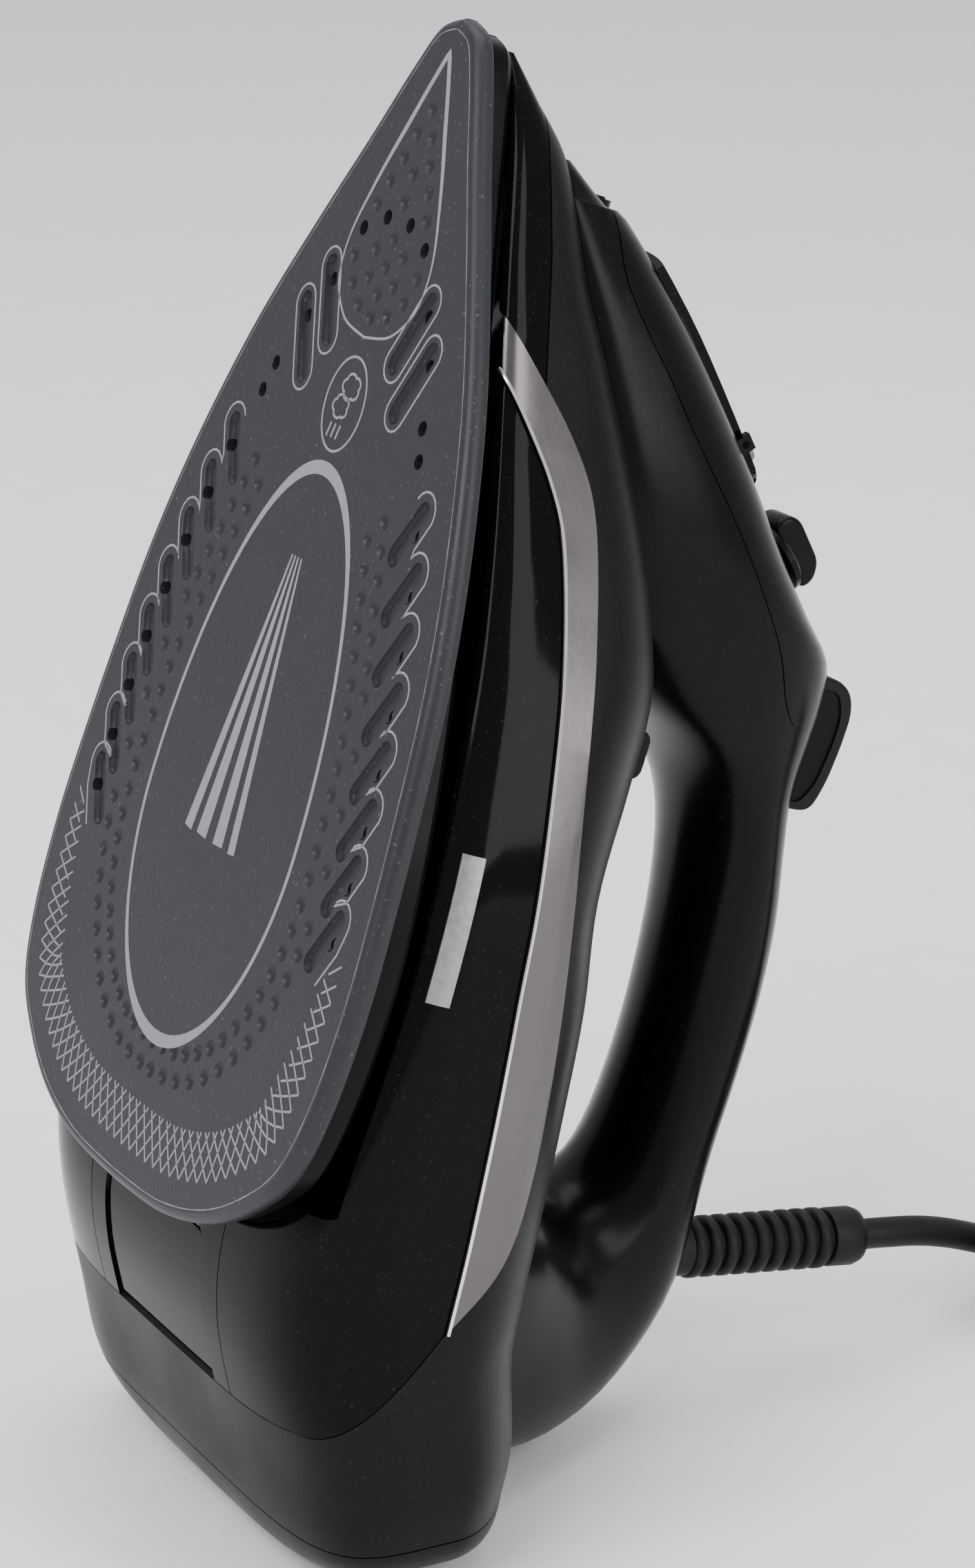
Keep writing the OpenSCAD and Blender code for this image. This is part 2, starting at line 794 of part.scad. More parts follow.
module supply_wires() {
    color([0.5, 0.3, 0.2]) stand() for (s = side_sign) mains_line(s, 1.1);
}

module screws() {
    color([0.55, 0.55, 0.56]) stand() {
        for (s = side_sign) upright(s * 30, 20, 18, 26, 1.8);
        upright(0, 150, 17, 25, 1.8);
        for (s = side_sign) upright(s * 9, 137, 62, 72, 1.6);
    }
}

// ---------- mains cord ----------
function unit(v) = v / norm(v);
function tangent(p, i) = unit(p[min(i + 1, len(p) - 1)] - p[max(i - 1, 0)]);

module tube(p, r, m) {
    ring = [for (i = [0:len(p) - 1]) let (t = tangent(p, i), u = unit(cross([1, 0, 0.01], t)), w = cross(t, u))
        each [for (j = [0:m - 1]) p[i] + r * (cos(360 * j / m) * u + sin(360 * j / m) * w)]];
    walls = [for (i = [0:len(p) - 2]) for (j = [0:m - 1]) let (k = (j + 1) % m)
        each [[i * m + j, (i + 1) * m + k, i * m + k], [i * m + j, (i + 1) * m + j, (i + 1) * m + k]]];
    ends = [[for (j = [0:m - 1]) j], [for (j = [m - 1:-1:0]) (len(p) - 1) * m + j]];
    polyhedron(points = ring, faces = concat(walls, ends));
}

module cord_run() {
    color([0.04, 0.04, 0.04]) tube(smooth_rows(cord_route, 2), cord_d / 2, 10);
}

// The end of the lead: a half turn from the coil's top to the back of the plug.
module cord_tail() {
    shift = (coil_r - tail_r) * sin(45);
    route = [for (i = [0:14]) let (a = -45 - 180 * i / 14, rise = (1 - cos(180 * i / 14)) / 2)
        [coil_x + shift + tail_r * cos(a), coil_y - shift + tail_r * sin(a),
            tail_z0 + (tail_z1 - tail_z0) * rise]];
    color([0.04, 0.04, 0.04]) tube(route, cord_d / 2, 10);
}

module cord_coil() {
    color([0.04, 0.04, 0.04]) translate([coil_x, coil_y, 0]) rotate_extrude()
        translate([coil_r - coil_half, 0]) square([2 * coil_half, 2 * coil_half]);
}

module coil_tie() {
    color([0.1, 0.1, 0.1]) translate([coil_x + coil_r, coil_y, 0]) difference() {
        translate([-coil_half - 1.6, -5, 0]) cube([2 * coil_half + 3.2, 10, 2 * coil_half + 1.3]);
        translate([-coil_half - 0.6, -6, -1]) cube([2 * coil_half + 1.2, 12, 2 * coil_half + 1.1]);
    }
}

// Plug frame: Z runs from the cord end to the face, lying across one side of the coil.
module plug_frame() {
    off = (coil_r - 2 * (coil_r - tail_r)) * sin(45);
    translate([coil_x - off, coil_y + off, tail_z1]) rotate([-90 + plug_tilt, 0, -45]) children();
}

module plug_body() {
    color([0.04, 0.04, 0.04]) plug_frame() rotate_extrude()
        polygon([[0, 0], [5, 0], [6.5, 14], [9, 16], [plug_r - 2, 30], [plug_r, 34],
            [plug_r, 14 + plug_len], [0, 14 + plug_len]]);
}

module plug_pins() {
    color("silver") plug_frame() for (s = side_sign) translate([s * 9.5, 0, 14 + plug_len])
        cylinder(h = 19, r = 2.4);
}

soleplate();
heater_block();
heating_element();
chamber_seal();
chamber_cover();
skirt();
tank_shell();
tank_floor();
tank_window();
trim_left();
trim_right();
mid_shell();
rear_cover();
label_panel();
rear_base();
heel_foot();
handle_body();
top_cover();
spray_nozzle();
filler_lid();
lid_barrel();
lid_pin();
lever_plate();
steam_lever();
steam_rod();
drip_valve();
spray_button();
steam_button();
spray_spring();
steam_spring();
spray_pump();
steam_pump();
spray_hose();
steam_hose();
temperature_dial();
dial_shaft();
thermostat();
thermal_fuse();
self_clean_button();
self_clean_spring();
self_clean_valve();
cord_guard();
swivel_ball();
swivel_socket();
cord_clamp();
terminal_block();
supply_wires();
screws();
cord_run();
cord_coil();
cord_tail();
coil_tie();
plug_body();
plug_pins();
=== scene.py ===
import json
import math

import bmesh
import bpy
from mathutils import Matrix, Vector


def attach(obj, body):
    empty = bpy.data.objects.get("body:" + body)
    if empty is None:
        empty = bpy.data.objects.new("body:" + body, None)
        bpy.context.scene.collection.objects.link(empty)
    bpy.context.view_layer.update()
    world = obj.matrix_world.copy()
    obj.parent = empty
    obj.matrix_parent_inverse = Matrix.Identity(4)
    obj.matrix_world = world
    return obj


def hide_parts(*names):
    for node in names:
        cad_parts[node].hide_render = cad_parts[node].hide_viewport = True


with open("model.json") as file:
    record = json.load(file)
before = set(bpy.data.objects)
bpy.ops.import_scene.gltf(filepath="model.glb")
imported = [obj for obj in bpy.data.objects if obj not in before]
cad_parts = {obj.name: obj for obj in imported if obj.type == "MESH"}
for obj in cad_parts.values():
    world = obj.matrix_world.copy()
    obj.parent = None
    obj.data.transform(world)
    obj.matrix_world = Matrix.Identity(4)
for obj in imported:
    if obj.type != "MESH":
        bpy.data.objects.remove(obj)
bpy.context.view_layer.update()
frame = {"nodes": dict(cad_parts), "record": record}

# The iron's own axes: x across, y away from the sole face, z towards the nose, in millimetres.
LEAN = math.radians(19.4)
C, S = math.cos(LEAN), math.sin(LEAN)
MM = Matrix.Scale(0.001, 4)
STAND = Matrix(((1, 0, 0, 0), (0, C, S, -52), (0, -S, C, 72), (0, 0, 0, 1)))
# Further than any edge of the iron.
FAR = 200
# Turns a lathe's Z axis to stand along the height above the sole face.
UP = Matrix.Rotation(math.radians(-90), 4, "X")


# ---------- camera ----------
def look(name, place, right, up, lens):
    data = bpy.data.cameras.new(name)
    camera = bpy.data.objects.new(name, data)
    bpy.context.scene.collection.objects.link(camera)
    back = Vector(right).cross(Vector(up))
    camera.matrix_world = Matrix((
        (right[0], up[0], back[0], place[0]),
        (right[1], up[1], back[1], place[1]),
        (right[2], up[2], back[2], place[2]),
        (0, 0, 0, 1)))
    data.lens = lens
    data.sensor_width = 36
    bpy.context.scene.camera = camera


look("camera", (0.72177, -0.35814, 0.40602), (0.471845, 0.881681, 0),
     (-0.274624, 0.146969, 0.950254), 103.62)


# ---------- materials ----------
def material(name, color, rough=0.4, metal=0.0, spread=0.06, grain=900, bump=0.05, mottle=0.06,
             scale=60, coat=0.0, alpha=1.0, specular=0.5, dust=0.0):
    """A plastic, rubber or metal finish: mottled colour, uneven roughness and a fine grain."""
    m = bpy.data.materials.new(name)
    m.use_nodes = True
    tree = m.node_tree
    link = tree.links.new
    shader = tree.nodes["Principled BSDF"]
    place = tree.nodes.new("ShaderNodeTexCoord")
    cloud = tree.nodes.new("ShaderNodeTexNoise")
    cloud.inputs["Scale"].default_value = scale
    cloud.inputs["Detail"].default_value = 5
    link(place.outputs["Object"], cloud.inputs["Vector"])
    tone = tree.nodes.new("ShaderNodeMapRange")
    tone.inputs["From Min"].default_value = 0.3
    tone.inputs["From Max"].default_value = 0.7
    tone.inputs["To Min"].default_value = 1 - mottle
    tone.inputs["To Max"].default_value = 1 + mottle
    link(cloud.outputs["Fac"], tone.inputs["Value"])
    tint = tree.nodes.new("ShaderNodeVectorMath")
    tint.operation = "SCALE"
    tint.inputs[0].default_value = color
    link(tone.outputs["Result"], tint.inputs["Scale"])
    last = tint.outputs["Vector"]
    if dust:
        speck = tree.nodes.new("ShaderNodeTexNoise")
        speck.inputs["Scale"].default_value = 1400
        speck.inputs["Detail"].default_value = 1
        link(place.outputs["Object"], speck.inputs["Vector"])
        cut = tree.nodes.new("ShaderNodeMapRange")
        cut.inputs["From Min"].default_value = 0.68
        cut.inputs["From Max"].default_value = 0.78
        cut.inputs["To Max"].default_value = dust
        link(speck.outputs["Fac"], cut.inputs["Value"])
        mix = tree.nodes.new("ShaderNodeMix")
        mix.data_type = "RGBA"
        mix.inputs["B"].default_value = (0.4, 0.4, 0.4, 1)
        link(cut.outputs["Result"], mix.inputs["Factor"])
        link(last, mix.inputs["A"])
        last = mix.outputs["Result"]
    link(last, shader.inputs["Base Color"])
    uneven = tree.nodes.new("ShaderNodeMapRange")
    uneven.inputs["From Min"].default_value = 0.3
    uneven.inputs["From Max"].default_value = 0.7
    uneven.inputs["To Min"].default_value = max(rough - spread, 0.02)
    uneven.inputs["To Max"].default_value = rough + spread
    link(cloud.outputs["Fac"], uneven.inputs["Value"])
    link(uneven.outputs["Result"], shader.inputs["Roughness"])
    fine = tree.nodes.new("ShaderNodeTexNoise")
    fine.inputs["Scale"].default_value = grain
    fine.inputs["Detail"].default_value = 3
    link(place.outputs["Object"], fine.inputs["Vector"])
    raised = tree.nodes.new("ShaderNodeBump")
    raised.inputs["Strength"].default_value = bump
    raised.inputs["Distance"].default_value = 0.0004
    link(fine.outputs["Fac"], raised.inputs["Height"])
    link(raised.outputs["Normal"], shader.inputs["Normal"])
    shader.inputs["Metallic"].default_value = metal
    shader.inputs["Coat Weight"].default_value = coat
    shader.inputs["Coat Roughness"].default_value = 0.04
    shader.inputs["Specular IOR Level"].default_value = specular
    shader.inputs["Alpha"].default_value = alpha
    return m


MAT = {
    "sole": material("sole_ceramic", (0.0155, 0.0162, 0.0195), 0.42, mottle=0.05, scale=35, grain=1500,
                     bump=0.12, spread=0.05, dust=0.12, specular=0.26),
    "edge": material("sole_edge", (0.16, 0.16, 0.17), 0.3, metal=0.3, mottle=0.25, scale=260,
                     grain=1800, bump=0.15),
    "print": material("sole_print", (0.21, 0.21, 0.225), 0.5, mottle=0.06, scale=400,
                      bump=0.05, specular=0.2),
    "gloss": material("gloss_black", (0.0022, 0.0022, 0.0024), 0.07, coat=0.0, mottle=0.1, scale=24,
                      bump=0.012, grain=300, spread=0.03, dust=0.03, specular=0.07),
    "skirt": material("skirt_black", (0.002, 0.002, 0.002), 0.3, mottle=0.1, bump=0.05, specular=0.1),
    "charcoal": material("charcoal", (0.0048, 0.0046, 0.0048), 0.36, mottle=0.08, scale=45, bump=0.1,
                         grain=1700, dust=0.03, specular=0.1),
    "handle": material("handle_black", (0.0024, 0.0024, 0.0027), 0.24, mottle=0.1, scale=30,
                       bump=0.03, grain=1400, coat=0.0, dust=0.02, specular=0.1),
    "strip": material("satin_strip", (0.115, 0.108, 0.104), 0.27, metal=0.95, mottle=0.08, scale=26,
                      bump=0.05, grain=500, spread=0.07),
    "bright": material("bright_edge", (0.72, 0.7, 0.68), 0.12, metal=1.0, mottle=0.04, bump=0.02),
    "foot": material("foot_grey", (0.040, 0.0385, 0.038), 0.46, mottle=0.08, bump=0.12,
                     grain=1500, specular=0.2),
    "smoke": material("tank_smoke", (0.003, 0.003, 0.0034), 0.08, coat=0.0, bump=0.01, specular=0.3),
    "clear": material("clear_plate", (0.10, 0.10, 0.11), 0.06, coat=1.0, bump=0.01, specular=0.8),
    "button": material("button_grey", (0.0045, 0.0045, 0.0045), 0.38, mottle=0.08, bump=0.08,
                       grain=1500, specular=0.14),
    "flank": material("button_flank", (0.003, 0.003, 0.003), 0.45, bump=0.1, grain=1600, specular=0.1),
    "steel": material("spring_steel", (0.55, 0.55, 0.56), 0.25, metal=1.0, scale=200, bump=0.04),
    "cast": material("cast_block", (0.42, 0.42, 0.43), 0.5, metal=0.9, scale=150, bump=0.3, grain=700),
    "sheath": material("element_sheath", (0.12, 0.10, 0.09), 0.4, metal=0.8, mottle=0.25, bump=0.1),
    "seal": material("seal", (0.35, 0.05, 0.03), 0.6, bump=0.1),
    "nylon": material("valve_white", (0.68, 0.66, 0.58), 0.45, bump=0.05),
    "ceramic": material("ceramic", (0.62, 0.56, 0.44), 0.3, bump=0.08),
    "wire": material("wire", (0.12, 0.035, 0.015), 0.4, bump=0.04),
    "cord": material("cord_black", (0.004, 0.004, 0.0043), 0.5, mottle=0.12, scale=90, bump=0.12,
                     grain=1300, spread=0.08, specular=0.2),
    "brass": material("pin_brass", (0.6, 0.48, 0.26), 0.25, metal=1.0, scale=200, bump=0.04),
    "pale": material("pale_grip", (0.11, 0.11, 0.112), 0.22, bump=0.02, specular=0.6),
    "mark": material("mark_white", (0.5, 0.5, 0.5), 0.5, bump=0.02),
    # Silver for the pale strip on the side: a painted highlight on the gloss black shell.
    "badge": material("painted_highlight_silver", (0.3, 0.3, 0.305), 0.33, metal=0.9, scale=700, bump=0.08),
}
SLOT_LOOK = {
    "sole_coating": "sole", "cast_block": "cast", "element_sheath": "sheath", "seal": "seal",
    "steel_plate": "steel", "skirt_black": "skirt", "gloss_black": "gloss", "charcoal": "charcoal",
    "tank_smoke": "smoke", "satin_strip": "strip", "foot_grey": "foot", "handle_black": "handle",
    "clear_plate": "clear", "button_grey": "button", "spring_steel": "steel",
    "valve_white": "nylon", "ceramic": "ceramic", "wire": "wire", "cord_black": "cord",
    "pin_brass": "brass"}


# ---------- mesh helpers ----------
def catmull(a, b, c, d, t):
    return 0.5 * (2 * b + (c - a) * t + (2 * a - 5 * b + 4 * c - d) * t * t
                  + (3 * b - a - 3 * c + d) * t ** 3)


def smooth(rows, n):
    out = []
    for i in range(len(rows) - 1):
        a, b = rows[max(i - 1, 0)], rows[i]
        c, d = rows[i + 1], rows[min(i + 2, len(rows) - 1)]
        for j in range(n):
            out.append([catmull(*v, j / n) for v in zip(a, b, c, d)])
    return out + [list(rows[-1])]


def power(v, e):
    return math.copysign(abs(v) ** e, v) if v else 0.0


def mesh_from(points, faces):
    bm = bmesh.new()
    verts = [bm.verts.new(p) for p in points]
    for f in faces:
        bm.faces.new([verts[i] for i in f])
    bmesh.ops.recalc_face_normals(bm, faces=bm.faces)
    return bm


def tube_faces(rings, m, closed=False):
    faces = []
    for i in range(rings if closed else rings - 1):
        for j in range(m):
            k = (i + 1) % rings
            faces.append((i * m + j, i * m + (j + 1) % m, k * m + (j + 1) % m, k * m + j))
    if not closed:
        faces.append(tuple(range(m)))
        faces.append(tuple((rings - 1) * m + j for j in range(m)))
    return faces


def loft(rows, g=0.0, drop=0.0, m=96):
    points = []
    for l0, h0, tilt, wide, vs, vt, nt, nb in rows:
        t = math.radians(tilt)
        top = vt + g
        low = -g - (0 if tilt > 0.5 else drop)
        for i in range(m):
            a = 2 * math.pi * i / m
            c, s = math.cos(a), math.sin(a)
            e = 2 / (nt if s >= 0 else nb)
            v = vs + (top - vs) * power(s, e) if s >= 0 else vs + (vs - low) * power(s, e)
            points.append(((wide + g) * power(c, e), h0 + v * math.cos(t), l0 + v * math.sin(t)))
    return mesh_from(points, tube_faces(len(rows), m))


def prism(outline, x0, x1):
    """Side-view outline of (height, towards the nose) between two planes across the iron."""
    n = len(outline)
    points = [(x, h, l) for x in (x0, x1) for h, l in outline]
    return mesh_from(points, tube_faces(2, n))


def plan(outline, h0, h1):
    """Plan outline of (across, towards the nose) between two heights above the sole face."""
    n = len(outline)
    points = [(x, h, l) for h in (h0, h1) for x, l in outline]
    return mesh_from(points, tube_faces(2, n))


def block(low, high, matrix=None):
    bm = bmesh.new()
    bmesh.ops.create_cube(bm, size=1)
    mid = [(a + b) / 2 for a, b in zip(low, high)]
    size = [b - a for a, b in zip(low, high)]
    bm.transform((matrix or Matrix.Identity(4)) @ Matrix.Translation(mid) @ Matrix.Diagonal((*size, 1)))
    return bm


def lathe(profile, matrix, m=48):
    """Profile of (radius, height) turned about the matrix's Z axis; both ends lie on the axis."""
    points = []
    for r, h in profile:
        for i in range(m):
            a = 2 * math.pi * i / m
            points.append((r * math.cos(a), r * math.sin(a), h))
    bm = mesh_from(points, tube_faces(len(profile), m))
    bmesh.ops.remove_doubles(bm, verts=bm.verts, dist=1e-5)
    bmesh.ops.recalc_face_normals(bm, faces=bm.faces)
    bm.transform(matrix)
    return bm


def rod(r, h0, h1, matrix, m=40):
    return lathe([(r, h0), (r, h1)], matrix, m)


def joined(*parts):
    out = bmesh.new()
    for p in parts:
        mesh = bpy.data.meshes.new("t")
        p.to_mesh(mesh)
        out.from_mesh(mesh)
        bpy.data.meshes.remove(mesh)
        p.free()
    return out


def temp_object(bm):
    mesh = bpy.data.meshes.new("t")
    bm.to_mesh(mesh)
    o = bpy.data.objects.new("t", mesh)
    bpy.context.scene.collection.objects.link(o)
    return o


def combine(bm, *steps):
    """Applies boolean steps such as ("DIFFERENCE", other) in order and returns a new mesh."""
    base = temp_object(bm)
    others = []
    for how, other in steps:
        o = temp_object(other)
        others.append(o)
        cut = base.modifiers.new("cut", "BOOLEAN")
        cut.operation = how
        cut.object = o
        cut.solver = "MANIFOLD"
    bpy.context.view_layer.update()
    graph = bpy.context.evaluated_depsgraph_get()
    result = bmesh.new()
    result.from_mesh(base.evaluated_get(graph).to_mesh())
    for o in (base, *others):
        mesh = o.data
        bpy.data.objects.remove(o)
        bpy.data.meshes.remove(mesh)
    bmesh.ops.remove_doubles(result, verts=result.verts, dist=0.004)
    bmesh.ops.dissolve_degenerate(result, edges=result.edges, dist=0.002)
    return result


def piece(name, bm, looks, body, replaces=(), space=STAND, angle=32, flat_axis=None):
    """Adds a finished mesh, given in millimetres in the iron's own axes, to the model."""
    bm.transform(MM @ space)
    bm.normal_update()
    flat = {f for f in bm.faces if flat_axis and abs(f.normal.dot(flat_axis)) > 0.9999}
    for e in bm.edges:
        rims = len(flat.intersection(e.link_faces)) == 1
        e.smooth = len(e.link_faces) == 2 and not rims and e.calc_face_angle(0) < math.radians(angle)
    for f in bm.faces:
        f.smooth = True
    mesh = bpy.data.meshes.new(name)
    bm.to_mesh(mesh)
    bm.free()
    o = bpy.data.objects.new(name, mesh)
    bpy.context.scene.collection.objects.link(o)
    for look_name in ([looks] if isinstance(looks, str) else looks):
        mesh.materials.append(MAT[look_name])
    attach(o, body)
    if replaces:
        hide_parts(*replaces)
    return o


# ---------- mains cord ----------
CORD_D = 6.4
COIL = Vector((20, 196, 0))
ROUTE = [(0, 109, 26.9), (0, 115, 26.05), (0, 122, 25.1), (-0.5, 130, 23.6), (-1.5, 138, 21.1),
         (-3.5, 147, 17.2), (-6.5, 156, 12.8), (-10.5, 165, 8.7), (-14.5, 174, 6)]
# Each turn of the coil: where it begins in turns, its radius and its height.
TURNS = [(0.0, 42.4, 3.3), (0.9, 36.0, 3.3), (1.9, 29.6, 3.3), (2.72, 29.6, 9.7), (3.54, 36.0, 9.7),
         (4.54, 42.4, 9.7), (5.36, 42.4, 16.1), (6.18, 36.0, 16.1), (7.18, 29.6, 16.1)]
SHIFT_TIME = 0.18
TAIL_R, TAIL_LOW, TAIL_HIGH = 26, 22.6, 35


def ease(t):
    t = min(max(t, 0.0), 1.0)
    return t * t * (3 - 2 * t)


def cord_path():
    """The lead from the guard to the floor, the turns of its coil, and a half turn to the plug."""
    route = [Vector(p) for p in smooth([list(p) for p in ROUTE], 4)]
    off = route[-1] - COIL
    start, r_in, z_in = math.atan2(off.y, off.x), off.xy.length, off.z
    end = 7 + (math.degrees(start) + 45) % 360 / 360
    steps = int(end * 44)
    for k in range(1, steps):
        t = end * k / steps
        r, z = TURNS[0][1:]
        for at, r1, z1 in TURNS[1:]:
            f = ease((t - at) / SHIFT_TIME)
            r, z = r + (r1 - r) * f, z + (z1 - z) * f
        settle = ease(t / 0.12)
        r, z = r_in + (r - r_in) * settle, z_in + (z - z_in) * settle
        z += (TAIL_LOW - z) * ease((t - end + 0.3) / 0.2)
        r += (TAIL_R + 10 - r) * ease((t - end + 0.18) / 0.18)
        a = start - 2 * math.pi * t
        route.append(COIL + Vector((r * math.cos(a), r * math.sin(a), z)))
    shift = 10 * math.sin(math.radians(45))
    for i in range(15):
        a = math.radians(-45 - 180 * i / 14)
        rise = (1 - math.cos(math.pi * i / 14)) / 2
        route.append(Vector((COIL.x + shift + TAIL_R * math.cos(a), COIL.y - shift + TAIL_R * math.sin(a),
                             TAIL_LOW + (TAIL_HIGH - TAIL_LOW) * rise)))
    return route


def swept(points, r, m):
    """A round tube along points, with as little twist as possible."""
    rings = []
    side = Vector((1, 0, 0.01))
    for i, p in enumerate(points):
        t = (points[min(i + 1, len(points) - 1)] - points[max(i - 1, 0)]).normalized()
        u = side.cross(t).normalized()
        side = t.cross(u)
        for j in range(m):
            a = 2 * math.pi * j / m
            rings.append(p + r * (math.cos(a) * u - math.sin(a) * side))
    return mesh_from(rings, tube_faces(len(points), m))


ROW = Matrix.Identity(4)
lead_path = cord_path()
lead = piece("mains_lead", swept(lead_path, CORD_D / 2, 14), "cord", "cord_swivel",
             ("cord_run", "cord_coil", "cord_tail"), ROW, 60)
PLUG = (Matrix.Translation((8.686, 207.314, TAIL_HIGH)) @ Matrix.Rotation(math.radians(-45), 4, "Z")
        @ Matrix.Rotation(math.radians(-85), 4, "X"))
plug = piece("plug", lathe(
    [(0, 0), (4.2, 0), (4.6, 1), (5.4, 9), (5.2, 9.6), (5.2, 10.4), (5.9, 11), (6.4, 14), (9, 16.2),
     (12.4, 20), (15.6, 28), (16.6, 31), (17.6, 33.6), (18, 35), (18, 51.5), (17.4, 53.4), (15.8, 54),
     (0, 54)], PLUG), "cord", "cord_swivel", ("plug_body",), ROW, 40)
pins = piece("plug_contacts", joined(*[lathe(
    [(0, 53.5), (2.4, 53.5), (2.4, 71.8), (1.9, 72.9), (0, 73)],
    PLUG @ Matrix.Translation((s * 9.5, 0, 0)), 24) for s in (-1, 1)]),
    "brass", "cord_swivel", ("plug_pins",), ROW, 40)


# ---------- the iron's surfaces ----------
SOLE_PTS = [(0, 0), (20, 1), (37, 5.5), (50, 13), (59, 22), (63.5, 36), (65, 55), (64, 74), (62.2, 92),
            (60, 109), (56.2, 126), (50.3, 144), (42.2, 163), (31, 183), (20.8, 200), (12.2, 215),
            (6.8, 222.5), (0, 225)]
SKIRT_PTS = [(0, 0), (20, 1), (37, 5.5), (50, 13), (59, 22), (63.5, 36), (65, 55), (63.5, 74), (60, 92),
             (55, 109), (49, 126), (42, 144), (34, 163), (25, 183), (17.5, 200), (11, 215), (6.5, 222.5),
             (0, 225)]
BASE = 9.6
LOWER = [
    (-59.6, 47.5, 19.4, 35, 20, 41, 1.8, 3.2), (-57.4, 41.6, 19.4, 48, 23, 47, 1.8, 3.8),
    (-53.5, 36.5, 19, 57.5, 26, 53, 1.75, 4.8), (-47, 31.5, 17, 60.5, 28, 57, 1.75, 5),
    (-35.6, 25.3, 13, 62, 31, 61, 1.75, 5), (-16.5, 14.5, 8, 62, 34, 65, 1.85, 5),
    (0, 10, 3, 62.5, 35, 67, 1.9, 6), (20, BASE, 0, 63.5, 34, 65.4, 1.85, 8),
    (40, BASE, 0, 64.5, 31.5, 63.4, 1.8, 8), (60, BASE, 0, 64, 30, 60.4, 1.8, 8),
    (80, BASE, 0, 62, 27.5, 56.6, 1.8, 8), (100, BASE, 0, 58, 27, 58.4, 1.85, 8),
    (118, BASE, 0, 53.5, 27, 56.5, 2.1, 8), (133, BASE, 0, 48, 26, 51, 2.2, 8),
    (147, BASE, 0, 42, 23, 45, 2.3, 8), (160, BASE, 0, 36, 20, 38.5, 2.3, 8),
    (174, BASE, 0, 29.5, 16, 31.5, 2.3, 8), (186, BASE, 0, 24, 12, 25.5, 2.2, 8),
    (198, BASE, 0, 18.5, 9, 20.5, 2.2, 7), (207, BASE, 0, 14, 6, 16.5, 2, 6),
    (215, BASE, 0, 9, 3.5, 8, 2, 5), (221.5, BASE, 0, 3, 1.2, 2, 2, 4)]
UPPER = [
    (206, 20, 0, 8, 4, 8.5, 2.2, 4), (200, 22, 0, 13, 8, 15, 2.2, 4),
    (198.6, 22, 0, 14.5, 10, 20.5, 2.2, 4), (186, 26, 0, 20.5, 14, 31, 2.3, 4),
    (174, 30, 0, 24, 18, 39, 2.4, 4), (159, 36, 0, 27, 22, 47, 2.5, 4),
    (146, 42, 0, 28.5, 24, 52.8, 2.5, 4), (136, 48, 0, 28.5, 26, 56.6, 2.6, 4),
    (129, 53, 0, 27.5, 27, 59, 2.7, 4), (122, 60, -1, 25.5, 25, 54.5, 2.7, 3),
    (114, 70, -3, 22.5, 22, 45.5, 2.6, 2.6), (107, 82, -5, 19.8, 17, 34.2, 2.4, 2.2),
    (100, 90.5, -5, 17.8, 13, 26.8, 2.3, 2), (90, 96.5, -4, 16.5, 11.5, 23.3, 2.2, 2),
    (76, 100, -2, 15.5, 11.5, 23.5, 2.2, 2), (60, 102, 0, 15, 12, 23.4, 2.2, 2),
    (44, 103, 0, 15, 12, 22.7, 2.2, 2), (28, 102.4, 0, 15.2, 12, 23.2, 2.2, 2),
    (18, 100, -8, 16, 12.5, 26.5, 2.3, 2), (13, 94.5, -24, 17.5, 15, 34.5, 2.5, 2),
    (11.5, 90.5, -44, 19.5, 17, 42, 2.6, 2.2), (13, 86.5, -62, 23.5, 21, 50.5, 2.6, 2.5),
    (16, 82, -75, 29, 26, 57, 2.6, 2.8), (20, 76, -90, 36, 30, 62, 2.8, 3),
    (23, 66, -90, 41, 32, 66, 3, 3)]
TRIM_LOW = [(171, 8), (157, 18), (150.5, 22), (144, 24.8), (136, 26.4), (125, 27.8), (108, 29.5),
            (80, 31.7), (61, 33), (39, 35.6), (16, 38.8), (-1, 40.6)]
TRIM_HIGH = [(180, 8), (166.5, 20.5), (160, 26), (153, 30.4), (146, 32.7), (137, 34), (126, 35.1),
             (110, 36.6), (93, 38.5), (81, 40.4), (58, 44.2), (40, 47.4), (30, 48.7), (20, 49.1),
             (11, 47.2), (-1, 40.8)]
NOSE = [(240, 17), (205, 17.8), (189, 19.5), (166.5, 20.2)]
BAND = [(-1, 40.7), (-10, 36.5), (-19, 31), (-26, 25.5), (-31, 20), (-60, 5)]
COVER = [(208, 30), (199.2, 35), (187, 39), (172, 52), (163, 60), (151, 72), (140, 82), (129, 91),
         (121, 96.5), (116.5, 101), (115.5, 104)]
SEAM = 0.3


def curve(points, n=4):
    return [tuple(p) for p in smooth([list(p) for p in points], n)]


def flip(points, dh=0.0):
    return [(h + dh, l) for l, h in points]


def lower(g=0.0):
    return loft(list(reversed(smooth([list(r) for r in LOWER], 6))), g)


def lower_core(g=-2.4):
    rows = smooth([list(r) for r in LOWER], 6)
    return loft(list(reversed(rows[6:-14])), g, 6)


def upper(g=0.0):
    return loft(smooth([list(r) for r in UPPER], 3), g)


def upper_core():
    return loft(smooth([list(r) for r in UPPER[2:]], 3), -2.4)


TRIM_LOW, TRIM_HIGH, BAND, COVER = curve(TRIM_LOW), curve(TRIM_HIGH), curve(BAND), curve(COVER)


def below_trim(dh):
    return flip(NOSE, dh) + flip(TRIM_LOW[4:], dh) + flip(BAND[1:], dh) + [(-FAR, -60), (-FAR, 240)]


def above_trim(dh):
    return flip(NOSE, dh) + flip(TRIM_HIGH[8:], dh) + flip(BAND[1:], dh) + [(FAR, -60), (FAR, 240)]


def trim_zone(g):
    return flip(TRIM_LOW, -g) + flip(list(reversed(TRIM_HIGH)), g)


